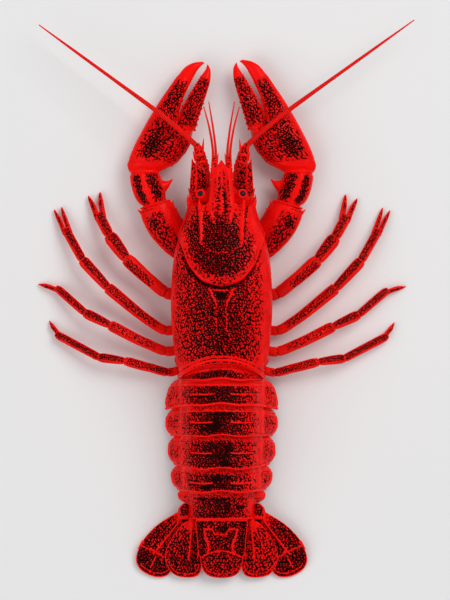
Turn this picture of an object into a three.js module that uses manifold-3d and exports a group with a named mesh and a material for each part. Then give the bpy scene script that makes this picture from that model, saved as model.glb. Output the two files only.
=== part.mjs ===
// A whole cooked crayfish, laid flat on its belly with both claws stretched forward and its tail fan spread.
// The hard plates of its shell are separate solids, as they are on the animal, where soft skin joins them.
// Sizes are in millimetres. +Y runs to the head, +X to the animal's right side and +Z up from the table.
// The origin is the middle of the flat of the breast plate that the animal rests on.
import * as THREE from "three";
import { mergeVertices } from "three/addons/utils/BufferGeometryUtils.js";
import Module from "manifold-3d";

const wasm = await Module();
wasm.setup();

// Driving sizes
const bodyLength = 160; // from the tip of the beak to the end of the tail fan
const beakTip = 53.6;
const tailEnd = beakTip - bodyLength;
const joint = 0.35; // the gap at every soft joint between two plates

const shellRed = new THREE.MeshStandardMaterial({ color: "#d01408", roughness: 0.38, metalness: 0 });
const legRed = new THREE.MeshStandardMaterial({ color: "#d81a0a", roughness: 0.42, metalness: 0 });
const breastPink = new THREE.MeshStandardMaterial({ color: "#dd6a4c", roughness: 0.5, metalness: 0 });
const feelerRed = new THREE.MeshStandardMaterial({ color: "#c21509", roughness: 0.45, metalness: 0 });
const eyeBlack = new THREE.MeshStandardMaterial({ color: "#120c0c", roughness: 0.15, metalness: 0 });

// Tools for shapes

// The value at x of a smooth line through [x, value] stations that are in rising order.
function along(stations, x) {
  const last = stations.length - 1;
  if (x <= stations[0][0]) return stations[0][1];
  if (x >= stations[last][0]) return stations[last][1];
  const i = stations.findIndex(([sx]) => sx > x) - 1;
  const slope = (a, b) => (stations[b][1] - stations[a][1]) / (stations[b][0] - stations[a][0]);
  const here = slope(i, i + 1);
  const start = i > 0 ? eased(slope(i - 1, i), here) : here;
  const end = i + 1 < last ? eased(here, slope(i + 1, i + 2)) : here;
  const span = stations[i + 1][0] - stations[i][0];
  const t = (x - stations[i][0]) / span;
  const rise = stations[i + 1][1] - stations[i][1];
  return (
    stations[i][1] +
    rise * t * t * (3 - 2 * t) +
    span * t * (1 - t) * (start * (1 - t) - end * t)
  );
}

// The slope where two stretches meet, which is level at a crest, so that no line overshoots its stations.
function eased(before, after) {
  return before * after <= 0 ? 0 : (2 * before * after) / (before + after);
}

const column = (table, index) => table.map((row) => [row[0], row[index]]);

// A closed three.js geometry as a solid, turned the right way out.
function solidOf(geometry) {
  const bare = new THREE.BufferGeometry().setAttribute("position", geometry.getAttribute("position"));
  if (geometry.index) bare.setIndex(geometry.index);
  const merged = mergeVertices(bare, 1e-4);
  const build = (triVerts) =>
    new wasm.Manifold(
      new wasm.Mesh({ numProp: 3, vertProperties: merged.attributes.position.array, triVerts }),
    );
  const triVerts = new Uint32Array(merged.index.array);
  const made = build(triVerts);
  return made.volume() > 0 ? made : build(triVerts.reverse());
}

// Moves every vertex of a geometry to place(vertex).
function moved(geometry, place) {
  const position = geometry.getAttribute("position");
  const vertex = new THREE.Vector3();
  for (let i = 0; i < position.count; i++) {
    vertex.fromBufferAttribute(position, i);
    position.setXYZ(i, ...place(vertex));
  }
  return solidOf(geometry);
}

// A solid of rings: place(share of the length, angle, reach from the ring's middle) gives each point.
function loft(sides, rings, place) {
  const tube = new THREE.CylinderGeometry(1, 1, 1, sides, rings);
  return moved(tube, ({ x, y, z }) => place(y + 0.5, Math.atan2(z, x), Math.hypot(x, z)));
}

// A point of an oval that is fuller than an ellipse where fullness is over 2.
function oval(angle, halfWidth, rise, drop, fullness) {
  const power = 2 / fullness;
  const c = Math.cos(angle);
  const s = Math.sin(angle);
  return [
    halfWidth * Math.sign(c) * Math.abs(c) ** power,
    (s > 0 ? rise : drop) * Math.sign(s) * Math.abs(s) ** power,
  ];
}

// A limb segment: an oval tube along points [x, y, z, half width, half height], level from side to side.
function limb(points, sides, rings, fullness = 2.2) {
  const path = new THREE.CatmullRomCurve3(points.map(([x, y, z]) => new THREE.Vector3(x, y, z)));
  const widths = points.map((p, i) => [i, p[3]]);
  const heights = points.map((p, i) => [i, p[4]]);
  return loft(sides, rings, (t, angle, reach) => {
    const forward = path.getTangent(t);
    const sideways = new THREE.Vector3(0, 0, 1).cross(forward).normalize();
    const upward = forward.cross(sideways);
    const at = t * (points.length - 1);
    const half = along(heights, at);
    const [across, up] = oval(angle, along(widths, at), half, half, fullness);
    const centre = path.getPoint(t);
    return centre.addScaledVector(sideways, across * reach).addScaledVector(upward, up * reach);
  });
}

// A thorn of the shell, a slim cone from its root to its point.
function thorn(root, point, radius, sides = 6) {
  const from = new THREE.Vector3(...root);
  const way = new THREE.Vector3(...point).sub(from);
  const cone = new THREE.ConeGeometry(radius, way.length(), sides);
  cone.translate(0, way.length() / 2, 0);
  const upright = new THREE.Vector3(0, 1, 0);
  cone.applyQuaternion(new THREE.Quaternion().setFromUnitVectors(upright, way.normalize()));
  return solidOf(cone.translate(...root));
}

// A closed outline that runs smoothly through its points and has a corner at the first.
function leaf(points) {
  const [start, ...rest] = points.map(([x, y]) => new THREE.Vector2(x, y));
  return new THREE.Shape().moveTo(start.x, start.y).splineThru(rest).closePath();
}

// A flat blade with a thin edge inside a closed outline. level(x, y) is the height of its middle.
function blade(outline, centre, thickness, level, around = 24, steps = 4) {
  const rim = outline.getSpacedPoints(around);
  const disc = new THREE.SphereGeometry(1, around, steps);
  return moved(disc, ({ x, y, z }) => {
    const turn = (Math.atan2(z, x) / (2 * Math.PI) + 1) % 1;
    const edge = rim[Math.round(turn * around) % around];
    const reach = Math.hypot(x, z);
    const px = centre[0] + (edge.x - centre[0]) * reach;
    const py = centre[1] + (edge.y - centre[1]) * reach;
    const half = (thickness / 2) * Math.sign(y) * Math.abs(y) ** 0.6;
    return [px, py, level(px, py) + half];
  });
}

// A plate arched from side to side. place takes how far a point is across (-1 to 1),
// along (0 to 1) and through (0 to 1).
function arch(columns, rows, place) {
  const slab = new THREE.BoxGeometry(2, 1, 1, columns, rows, 1);
  return moved(slab, ({ x, y, z }) => place(x, 0.5 - y, z + 0.5));
}

// Puts a solid into the scene as a named mesh at its own place.
function piece(parent, name, solid, material, at = [0, 0, 0]) {
  const { vertProperties, triVerts } = solid.getMesh();
  const geometry = new THREE.BufferGeometry()
    .setAttribute("position", new THREE.BufferAttribute(new Float32Array(vertProperties), 3))
    .setIndex(new THREE.BufferAttribute(new Uint32Array(triVerts), 1));
  geometry.computeVertexNormals();
  const mesh = new THREE.Mesh(geometry, material);
  mesh.name = name;
  mesh.position.set(...at);
  parent.add(mesh);
}

// The carapace, the one-piece shield over head and chest, with its beak
// Each row is [y, half width, height of the top, height of the lower edge].
const shieldRows = [
  [-30, 15.4, 25.6, 9],
  [-24, 17.1, 28.4, 7.6],
  [-14, 18.6, 31, 7],
  [-2, 19.3, 32.7, 7],
  [8, 19, 33, 7.2],
  [17, 18.1, 32.2, 8.1],
  [26, 15.9, 30.4, 9.4],
  [33, 13.7, 28.4, 10.6],
  [37.6, 12.3, 26.6, 12],
  [39.2, 10.4, 24.6, 14],
];
const shieldRear = -23.7; // in the middle, where the rear edge lies furthest forward
const shieldRearSweep = 4.9; // how far the corners reach behind the middle
const shieldRearHalf = 15.6;
const grooveRadius = 0.85;
// Where the neck groove runs: [lean from the top, y].
const neckLine = [
  [0, 5],
  [0.36, 6.8],
  [0.74, 12.6],
  [1, 18.6],
  [1.3, 22.6],
  [1.7, 25.6],
];
const neckReach = neckLine.at(-1)[0];

const rearEdge = (x) => shieldRear - shieldRearSweep * (Math.abs(x) / shieldRearHalf) ** 2.2;

// A point on the shield's surface: angle 0 is the animal's right flank and a quarter turn is the top.
function onShield(y, angle, reach = 1) {
  const half = along(column(shieldRows, 1), y);
  const top = along(column(shieldRows, 2), y);
  const low = along(column(shieldRows, 3), y);
  const widest = low + 0.34 * (top - low);
  const [x, z] = oval(angle, half, top - widest, widest - low, Math.sin(angle) > 0 ? 2.15 : 2.9);
  return [x * reach, y, widest + z * reach];
}

// Everything behind the shield's curved rear edge, to cut it off.
function behindShield() {
  const reach = 26;
  const steps = 28;
  const plan = new THREE.Shape().moveTo(-reach, -60);
  for (let i = 0; i <= steps; i++) {
    const x = -reach + (2 * reach * i) / steps;
    plan.lineTo(x, rearEdge(x));
  }
  plan.lineTo(reach, -60);
  return solidOf(new THREE.ExtrudeGeometry(plan, { depth: 60, bevelEnabled: false }));
}

// A groove cut along the shield through stations [y, angle].
function groove(stations, rings) {
  return limb(
    stations.map(([y, angle]) => [...onShield(y, angle), grooveRadius, grooveRadius]),
    5,
    rings,
  );
}

function beak() {
  const points = [
    [0, 33, 25.6, 5.6, 2.6],
    [0, 38, 25.2, 4.9, 2.3],
    [0, 44, 24.9, 4.1, 1.7],
    [0, 49.6, 24.7, 3.6, 1.2],
    [0, 51.2, 24.7, 1.9, 1],
    [0, beakTip, 25, 0.25, 0.3],
  ];
  let made = limb(points, 10, 10, 2.6);
  for (const x of [-3.1, 3.1]) made = made.add(thorn([x, 48.6, 24.8], [x * 1.06, 52, 25.2], 0.9));
  return made;
}

function carapace() {
  const front = shieldRows.at(-1)[0];
  const back = shieldRows[0][0];
  let made = loft(24, 20, (t, angle, reach) => onShield(back + (front - back) * t, angle, reach));
  made = made.subtract(behindShield()).add(beak());
  const half = Math.PI / 2;
  // The neck groove is a U over the back and down both cheeks, with its bend pointing to the tail.
  const neck = [];
  const steps = 20;
  for (let i = 0; i <= steps; i++) {
    const lean = neckReach * ((2 * i) / steps - 1);
    neck.push([along(neckLine, Math.abs(lean)), half - lean]);
  }
  made = made.subtract(groove(neck, 28));
  // Two lines bound the narrow field along the middle of the back.
  for (const turn of [-1, 1]) {
    const field = [
      [4.6, 0.27],
      [0.5, 0.13],
      [-4, 0.09],
      [-11, 0.09],
      [-14, 0.16],
    ];
    made = made.subtract(groove(field.map(([y, lean]) => [y, half + turn * lean]), 7));
    // The ridge behind each eye ends in a thorn, and a thorn stands at the corner of the cheek.
    const ridge = [
      [24, 0.42],
      [30, 0.5],
      [35.5, 0.62],
    ].map(([y, lean]) => onShield(y, half + turn * lean));
    const [x, y, z] = ridge.at(-1);
    made = made.add(limb(ridge.map((p) => [...p, 0.9, 0.8]), 6, 4));
    made = made.add(thorn([x, y - 1, z], [x, y + 2.9, z + 0.4], 0.8));
    made = made.add(thorn([turn * 11.4, 36.4, 18], [turn * 12.6, 41.2, 17.4], 1.1));
  }
  return made;
}

// The tail: six rings that overlap like a suit of armour
// front and rear are the ring's ends in the middle, halves are the half widths at shares of its length,
// back is half the arched part, and tops are the heights of the crest at the front and the rear.
// sweep is how far the rear edge of a side lobe reaches back past the middle of its ring.
const tailRings = [
  {
    front: shieldRear,
    rear: -29.8,
    back: 15,
    halves: [[0, 15.8], [1, 16]],
    tops: [25.6, 26.2],
    tip: 5.2,
    sweep: 0,
  },
  {
    front: -29.8,
    rear: -39.3,
    back: 15.4,
    halves: [[0, 17.6], [0.33, 20.4], [0.67, 21.6], [1, 21.1]],
    tops: [24.4, 25.4],
    tip: 1.2,
    sweep: 2.1,
  },
  {
    front: -39.3,
    rear: -51.1,
    back: 15.3,
    halves: [[0, 20.3], [0.33, 21.4], [0.67, 21.2], [1, 19.3]],
    tops: [23.7, 24.8],
    tip: 1,
    sweep: 0.8,
  },
  {
    front: -51.1,
    rear: -63.7,
    back: 14.9,
    halves: [[0, 19.3], [0.33, 20.4], [0.67, 20.3], [1, 18.2]],
    tops: [23, 23.6],
    tip: 1,
    sweep: -1.3,
  },
  {
    front: -63.7,
    rear: -72.5,
    back: 14.2,
    halves: [[0, 18.2], [0.33, 19.3], [0.67, 18.9], [1, 16.6]],
    tops: [21.6, 22],
    tip: 1.1,
    sweep: 0,
  },
  {
    front: -72.5,
    rear: -83.2,
    back: 11.6,
    halves: [[0, 17.1], [0.33, 15.7], [0.67, 12], [1, 11.6]],
    tops: [19.8, 16],
    tip: 3.4,
    sweep: 0,
  },
];
const lobeSpan = 20;
const bellyZ = 4.6; // the flat of soft belly between the lobes
const bellyFrontZ = 7.3; // under the first ring, over the end of the breast plate

const ringSweep = (ring, x) => ring.sweep * (Math.abs(x) / lobeSpan) ** 3;

function tailRing(ring, i) {
  const first = i === 0;
  const belly = first ? bellyFrontZ : bellyZ;
  const outerLine = (t) => {
    const half = along(ring.halves, t);
    const top = ring.tops[0] + (ring.tops[1] - ring.tops[0]) * t;
    const rise = top - ring.tip;
    const steps = [
      [0, 1],
      [0.42 * ring.back, 0.955],
      [0.78 * ring.back, 0.79],
      [0.97 * ring.back, 0.54],
      [0.4 * half + 0.62 * ring.back, 0.3],
      [half, 0.05],
    ];
    return new THREE.SplineCurve(steps.map(([x, z]) => new THREE.Vector2(x, ring.tip + z * rise)));
  };
  const innerLine = (t) => {
    const half = along(ring.halves, t);
    const steps = [
      [0, belly],
      [0.45 * ring.back, belly],
      [0.8 * ring.back, belly],
      [0.9 * ring.back, belly * 0.8 + ring.tip * 0.2],
      [half * 0.5 + ring.back * 0.46, ring.tip + 0.8],
      [half - 0.6, ring.tip],
    ];
    return new THREE.SplineCurve(steps.map(([x, z]) => new THREE.Vector2(x, z)));
  };
  return arch(16, 3, (across, t, through) => {
    const share = Math.abs(across);
    const outer = outerLine(t).getPoint(share);
    const inner = innerLine(t).getPoint(share);
    const x = Math.sign(across) * (inner.x + (outer.x - inner.x) * through);
    const start = first ? rearEdge(x) : ring.front - ringSweep(tailRings[i - 1], x);
    const end = ring.rear - ringSweep(ring, x);
    const y = start - joint + (end - start + joint) * t;
    return [x, y - ring.front, inner.y + (outer.y - inner.y) * through];
  });
}

// The tail fan: the tail plate in the middle and two blades on each side
const fanRoot = -83.9;
const bladeThickness = 1.2;
const tailPlateThickness = 2;

// Heights of the three layers of the fan, which slopes down to the table at its end.
// A layer falls to its sides, and round arches its root like the last ring.
const fanLevel = (root, end, fall, round = 0) => (x, y) => {
  const share = (y - tailEnd) / (fanRoot - tailEnd);
  return end + (root - end) * share - fall * Math.abs(x) - round * share * x * x;
};

function tailPlate() {
  const plan = new THREE.Shape()
    .moveTo(0, fanRoot)
    .lineTo(10.2, fanRoot)
    .lineTo(9.2, -90.5)
    .lineTo(8.7, -96.6)
    .lineTo(8.1, -97.6)
    .bezierCurveTo(8.4, -103.6, 6.2, tailEnd, 0, tailEnd)
    .bezierCurveTo(-6.2, tailEnd, -8.4, -103.6, -8.1, -97.6)
    .lineTo(-8.7, -96.6)
    .lineTo(-9.2, -90.5)
    .lineTo(-10.2, fanRoot)
    .closePath();
  return blade(plan, [0, -94.5], tailPlateThickness, fanLevel(14.4, 3.4, 0.03, 0.018), 36);
}

function innerBlade() {
  const plan = leaf([
    [11.2, fanRoot],
    [9.2, -87.4],
    [8.2, -94.2],
    [7.6, -101],
    [8.6, -105],
    [12.6, tailEnd],
    [18, -105.2],
    [21.4, -100.8],
    [21.5, -95.6],
    [18.6, -89.8],
    [14.6, -84.6],
  ]);
  return blade(plan, [15, -95.5], bladeThickness, fanLevel(8.2, 2.9, 0.05));
}

// The outer blade is folded across near its end, and a small thorn stands where the fold meets its edge.
function outerBlade() {
  const plan = leaf([
    [16, -80],
    [23.5, -84.5],
    [28.1, -88.7],
    [31.3, -93.2],
    [33, -98.8],
    [31.2, -103.2],
    [25.4, -106.1],
    [20.2, -104.9],
    [17.4, -98],
    [15, -90],
    [14, -83.6],
  ]);
  const foldThorn = thorn([29.4, -91.2, 3.1], [32.6, -95.2, 2.7], 0.8, 4);
  return blade(plan, [23.5, -94.5], bladeThickness, fanLevel(5.6, 1.9, 0.04)).add(foldThorn);
}

function fanHinge() {
  return limb(
    [
      [14, -78.1, 7.4, 0.8, 0.9],
      [14.5, -80.4, 7.6, 2.1, 1.3],
      [14, -83.3, 7.6, 2, 1],
    ],
    7,
    4,
  );
}

// The breast plate between the legs, with the flat that the animal rests on
const restZ = 0;
function breast() {
  const rows = [
    [-27.5, 4.6],
    [-22, 7.2],
    [-14, 8.1],
    [-4, 8.35],
    [7, 8.2],
    [13.4, 5.2],
  ];
  const back = rows[0][0];
  const front = rows.at(-1)[0];
  const middle = 3.3;
  return loft(16, 8, (t, angle, reach) => {
    const y = back + (front - back) * t;
    const [x, z] = oval(angle, along(rows, y), middle, middle + 0.8, 4);
    return [x * reach, y, Math.max(restZ, middle + z * reach)];
  });
}

// The head's own pieces, all made for the right side
const mouthLeg = () =>
  limb(
    [
      [3.8, 15.6, 3.6, 1.8, 1.9],
      [3.7, 24, 3.9, 2.1, 2.1],
      [3.3, 32.4, 5.2, 1.7, 1.8],
      [2.7, 39, 7.4, 1.3, 1.3],
      [2.2, 43, 8.6, 0.5, 0.5],
    ],
    7,
    8,
  );

const eye = () =>
  limb(
    [
      [5.9, 40.2, 20.7, 0.9, 0.9],
      [6.8, 40.6, 21, 1.3, 1.3],
      [7.8, 41.2, 21.3, 1.8, 1.8],
      [8.7, 41.6, 21.4, 1.5, 1.5],
      [9.3, 41.8, 21.5, 0.3, 0.3],
    ],
    8,
    6,
    2,
  );

function feelerScale() {
  const plan = leaf([
    [12.3, 41],
    [12, 46],
    [11.6, 51],
    [11.3, 54.6],
    [10.2, 52.6],
    [7.6, 51],
    [5.6, 48.4],
    [5.4, 44.4],
    [6.6, 41.8],
    [9.2, 40.4],
  ]);
  return blade(plan, [8.8, 46], 1.1, () => 16.7, 20);
}

// The broad joint beside the mouth that carries the feeler's root.
const feelerRootBase = () =>
  limb(
    [
      [9.9, 39.8, 13.3, 2.4, 2.1],
      [9.9, 41.8, 13.3, 2.5, 2.2],
      [9.2, 45, 13.2, 1.9, 1.8],
    ],
    6,
    2,
  );

const feelerRoot = () =>
  limb(
    [
      [7.2, 41.4, 12.6, 2.7, 2.6],
      [6.9, 47, 12.9, 2.6, 2.4],
      [7.4, 52, 13.6, 2.4, 2],
      [8.2, 55.4, 14.2, 2.2, 1.8],
      [9.2, 58.6, 14.8, 1.5, 1.4],
    ],
    8,
    7,
  )
    .add(feelerRootBase())
    .add(thorn([7.6, 56, 14.4], [6.8, 62.2, 15.4], 1.1))
    .add(thorn([9.6, 53.4, 14], [11, 57.4, 14.4], 0.8));

// A long feeler: it starts thick and ringed, rests on the claw, and thins to a hair.
const feelerBase = [9.9, 59.5, 14.9];
const feelerBow = [
  [0, 0],
  [0.12, 0.85],
  [0.27, 1.15],
  [0.6, 0.65],
  [1, 0],
];
const feelerRadius = [
  [0, 1.1],
  [0.3, 0.92],
  [0.5, 0.72],
  [0.75, 0.57],
  [1, 0.3],
];
function feeler({ length, heading: degrees }) {
  const heading = THREE.MathUtils.degToRad(degrees); // ahead of straight sideways
  const points = [0, 0.12, 0.27, 0.5, 0.75, 1].map((share) => {
    const bow = along(feelerBow, share);
    const radius = along(feelerRadius, share);
    return [
      length * share * Math.cos(heading) - bow * Math.sin(heading),
      length * share * Math.sin(heading) + bow * Math.cos(heading),
      0.6 * Math.sin(Math.PI * Math.min(1, share * 2)) - 5.5 * Math.max(0, share - 0.3),
      radius,
      radius,
    ];
  });
  return limb(points, 5, 14, 2);
}

// The short feelers: two hairs on one root.
function shortFeelers() {
  const hair = (outward, tipX, tipY) =>
    limb(
      [
        [outward, 52.6, 18.6, 0.6, 0.6],
        [outward + 0.1, 58, 19.3, 0.5, 0.5],
        [outward * 0.6 + tipX * 0.4, 66, 20.3, 0.4, 0.4],
        [tipX, tipY, 21, 0.25, 0.25],
      ],
      4,
      5,
      2,
    );
  return limb(
    [
      [3, 41, 17.6, 1.4, 1.5],
      [2.8, 46, 18, 1.5, 1.4],
      [2.7, 51, 18.4, 1.4, 1.2],
      [2.7, 54.6, 18.7, 0.8, 0.8],
    ],
    7,
    4,
  )
    .add(hair(2.2, 4.9, 75.9))
    .add(hair(3.3, 6.8, 74))
    .add(thorn([1.9, 52.6, 18.6], [1.2, 56.6, 19], 0.6, 4));
}

// The big claws, made for the right side
const clawAt = [29.3, 51.5, 6.3]; // the wrist joint

function arm() {
  let made = limb(
    [
      [10, 15.8, 4.4, 3.2, 2.9],
      [13.6, 19, 4.5, 4.8, 3.2],
      [17.5, 23.5, 5, 6.1, 3.9],
      [21.7, 29.2, 5.8, 6.8, 4.8],
      [24.3, 34, 6.2, 6.5, 5],
      [25.2, 36.5, 6.2, 4.9, 4],
    ],
    12,
    10,
  );
  const thorns = [
    [[18.4, 33.4, 7], [17, 35.6, 7.4]],
    [[19.4, 35.6, 6.6], [18.4, 38.6, 7]],
    [[17.2, 30.8, 7], [15.6, 32.2, 7.2]],
    [[29.8, 33.2, 6.4], [32.3, 35, 6.4]],
  ];
  for (const [root, point] of thorns) made = made.add(thorn(root, point, 1, 4));
  return made;
}

function wrist() {
  const made = limb(
    [
      [25.6, 37.7, 6.2, 4.2, 3.9],
      [26.7, 39.8, 6.2, 5.7, 4.9],
      [27.9, 42.4, 6.3, 6.1, 5.2],
      [29.1, 46, 6.3, 5.9, 5.2],
      [29.5, 48.4, 6.3, 5.4, 4.7],
      [29.5, 50, 6.3, 4.2, 3.7],
    ],
    12,
    10,
  );
  // The broad hooked thorn on its inner side.
  const hook = limb(
    [
      [23.8, 43.8, 6.6, 2.4, 2.2],
      [21.4, 44.4, 6.8, 1.35, 1.2],
      [19.7, 45.4, 7, 0.6, 0.55],
      [18.5, 46.7, 7.1, 0.1, 0.1],
    ],
    5,
    4,
  );
  return made.add(hook);
}

// Rows of the hand from the wrist to the point of its fixed finger.
// Each is [distance, outer edge, inner edge, half thickness].
const handRows = [
  [-1.1, 4.8, -5.9, 3],
  [0.4, 6.1, -7.9, 4.6],
  [3.6, 6.8, -9.8, 5.3],
  [8, 7.1, -11.1, 5.8],
  [12.1, 7, -11.8, 6],
  [15.6, 6.9, -11.9, 5.9],
  [19, 6.7, -10.4, 5.3],
  [22.2, 6.4, -2.9, 4],
  [26, 6, -1.8, 3.5],
  [31, 5.3, -1, 3],
  [36, 4.6, -0.9, 2.5],
  [40.6, 3.6, -1, 1.9],
  [43.6, 2.1, -1.2, 1.3],
  [45.7, -0.6, -1.9, 0.3],
];
const handSkew = 0.45; // the hand leans inwards, but its joint at the wrist runs straight across
const skewEnd = 12; // the distance by which the rows stand square to the hand
const handLength = handRows.at(-1)[0];
// The line of the moving finger's joint, which is the hand's edge between two of its rows.
const knuckle = handRows.slice(6, 8).map(([distance, , inner]) => ({ distance, x: inner }));

function hand() {
  const rings = handRows.length - 1;
  return loft(14, rings, (t, angle, reach) => {
    const [distance, outer, inner, thick] = handRows[Math.round(t * rings)];
    const [across, z] = oval(angle, (outer - inner) / 2, thick, thick, 2.25);
    const x = (outer + inner) / 2 + across * reach;
    const skew = handSkew * THREE.MathUtils.clamp(1 - distance / skewEnd, 0, 1);
    return [x, distance - skew * x, z * reach];
  });
}

function movingFinger() {
  const whole = limb(
    [
      [-8, 17.6, 0, 2.6, 4.2],
      [-7, 21.2, 0, 3.6, 4.1],
      [-6.1, 26, 0, 3.65, 3.7],
      [-5.8, 31, 0, 3.25, 3.1],
      [-5.6, 36, 0, 2.7, 2.5],
      [-5.3, 40.6, 0, 2, 1.8],
      [-4.8, 43.6, 0, 1.1, 1.1],
      [-3.6, handLength, 0, 0.25, 0.3],
    ],
    10,
    12,
  );
  // Its root is cut off along the joint with the hand.
  const [from, to] = knuckle;
  const behind = new THREE.BoxGeometry(30, 20, 20);
  behind.translate(0, -10 + joint, 0);
  behind.rotateZ(Math.atan2(to.distance - from.distance, to.x - from.x));
  behind.translate((from.x + to.x) / 2, (from.distance + to.distance) / 2, 0);
  return whole.subtract(solidOf(behind));
}

// The walking legs, from the hip outwards, for the right side
// joints are [x, y, z] of the hip, the point where the leg clears the shield, the middle of its thigh,
// the knee and the ankle. The foot runs from the ankle to the fork, and its fingers from there to their tips.
// widths are the half widths of the thigh, the knee, the shin and the foot.
const legs = [
  {
    joints: [
      [9.2, 6, 3.6],
      [19.4, 2.6, 4.4],
      [27.4, 7.8, 6.4],
      [36.6, 16, 8],
      [43.1, 24.8, 6.2],
    ],
    fork: [47.2, 32.6, 3.6],
    tips: [
      [46.9, 41.4, 1],
      [51.4, 39.9, 1],
    ],
    widths: [2.3, 2.5, 2.45, 2.05],
    fingers: 1.05,
  },
  {
    joints: [
      [9.2, -4.6, 3.6],
      [19.4, -11.2, 4.4],
      [28, -7.4, 6.4],
      [43.6, 5.2, 8],
      [53.2, 15.7, 6],
    ],
    fork: [59.6, 27.2, 3.2],
    tips: [
      [61.4, 36, 0.9],
      [64.2, 35, 0.9],
    ],
    widths: [1.9, 2.2, 2, 1.75],
    fingers: 0.9,
  },
  {
    joints: [
      [9.2, -13, 3.6],
      [19, -19.3, 4.4],
      [29.2, -16.3, 6.2],
      [42.8, -9.7, 7.6],
      [52.4, -5.2, 5.8],
    ],
    fork: [63, 3.9, 2.6],
    tips: [[70.5, 5.5, 0.8]],
    widths: [1.9, 2.05, 1.8, 1.6],
    fingers: 0.9,
  },
  {
    joints: [
      [9, -20.8, 3.6],
      [18.4, -27, 4.4],
      [27.6, -25.4, 6.2],
      [36.9, -22.9, 7.4],
      [47, -21.5, 5.8],
    ],
    fork: [62.8, -13, 2.4],
    tips: [[66, -7.6, 0.7]],
    widths: [1.7, 1.8, 1.65, 1.6],
    fingers: 0.85,
  },
];

// A point a little way from one joint towards the next.
function towards(from, to, distance) {
  const start = new THREE.Vector3(...from);
  const way = new THREE.Vector3(...to).sub(start).normalize();
  return start.addScaledVector(way, distance).toArray();
}

const toThigh = ({ joints: [hip, edge, middle, knee], widths }) =>
  limb(
    [
      [...hip, widths[0] * 0.8, widths[0] * 0.75],
      [...edge, widths[0], widths[0] * 0.8],
      [...middle, widths[0] * 1.05, widths[0]],
      [...towards(knee, middle, 2.2), widths[1] * 1.08, widths[1] * 1.05],
      [...towards(knee, middle, 0.3), widths[1] * 0.66, widths[1] * 0.66],
    ],
    7,
    10,
  );

const toShin = ({ joints: [, , , knee, ankle], widths }) =>
  limb(
    [
      [...towards(knee, ankle, 0.4), widths[2] * 0.6, widths[2] * 0.6],
      [...towards(knee, ankle, 2), widths[2] * 0.95, widths[2] * 0.95],
      [...towards(ankle, knee, 2), widths[2] * 1.12, widths[2] * 1.08],
      [...towards(ankle, knee, joint / 2), widths[2] * 0.7, widths[2] * 0.7],
    ],
    7,
    5,
  );

// The last segment ends in two short fingers on the first two legs and in one claw on the others.
function toFoot({ joints, fork, tips, widths, fingers }) {
  const ankle = joints.at(-1);
  const pincer = tips.length > 1;
  const [x, y, z] = towards(fork, ankle, 1.6);
  let made = limb(
    [
      [...towards(ankle, fork, joint / 2), widths[3] * 0.6, widths[3] * 0.6],
      [...towards(ankle, fork, 2), widths[3], widths[3] * 0.95],
      [...towards(fork, ankle, 2), widths[3] * 1.02, widths[3] * 0.8],
      [...towards(fork, ankle, -0.8), pincer ? widths[3] * 0.85 : fingers, fingers * 0.8],
    ],
    7,
    5,
  );
  tips.forEach((tip, i) => {
    const side = pincer ? i - 0.5 : 0;
    const bow = pincer ? [side * 0.7, 0, 0] : [0.7, 0.5, 0];
    const middle = [x, y, z].map((v, k) => (v + tip[k]) / 2 + bow[k]);
    const finger = limb(
      [
        [x + side * widths[3] * 1.1, y - side * widths[3] * 0.33, z, fingers, fingers * 0.9],
        [...middle, fingers * 0.85, fingers * 0.75],
        [...tip, 0.25, 0.25],
      ],
      5,
      4,
      2,
    );
    made = made.add(finger);
  });
  return made;
}

// Putting it together
const crayfish = new THREE.Group();

const trunk = new THREE.Group();
crayfish.add(trunk);
piece(trunk, "carapace", carapace(), shellRed);
piece(trunk, "breast_plate", breast(), breastPink);

const tail = new THREE.Group();
crayfish.add(tail);
tailRings.forEach((ring, i) => {
  piece(tail, `tail_ring_${i + 1}`, tailRing(ring, i), shellRed, [0, ring.front, 0]);
});
piece(tail, "tail_plate", tailPlate(), shellRed);

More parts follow.
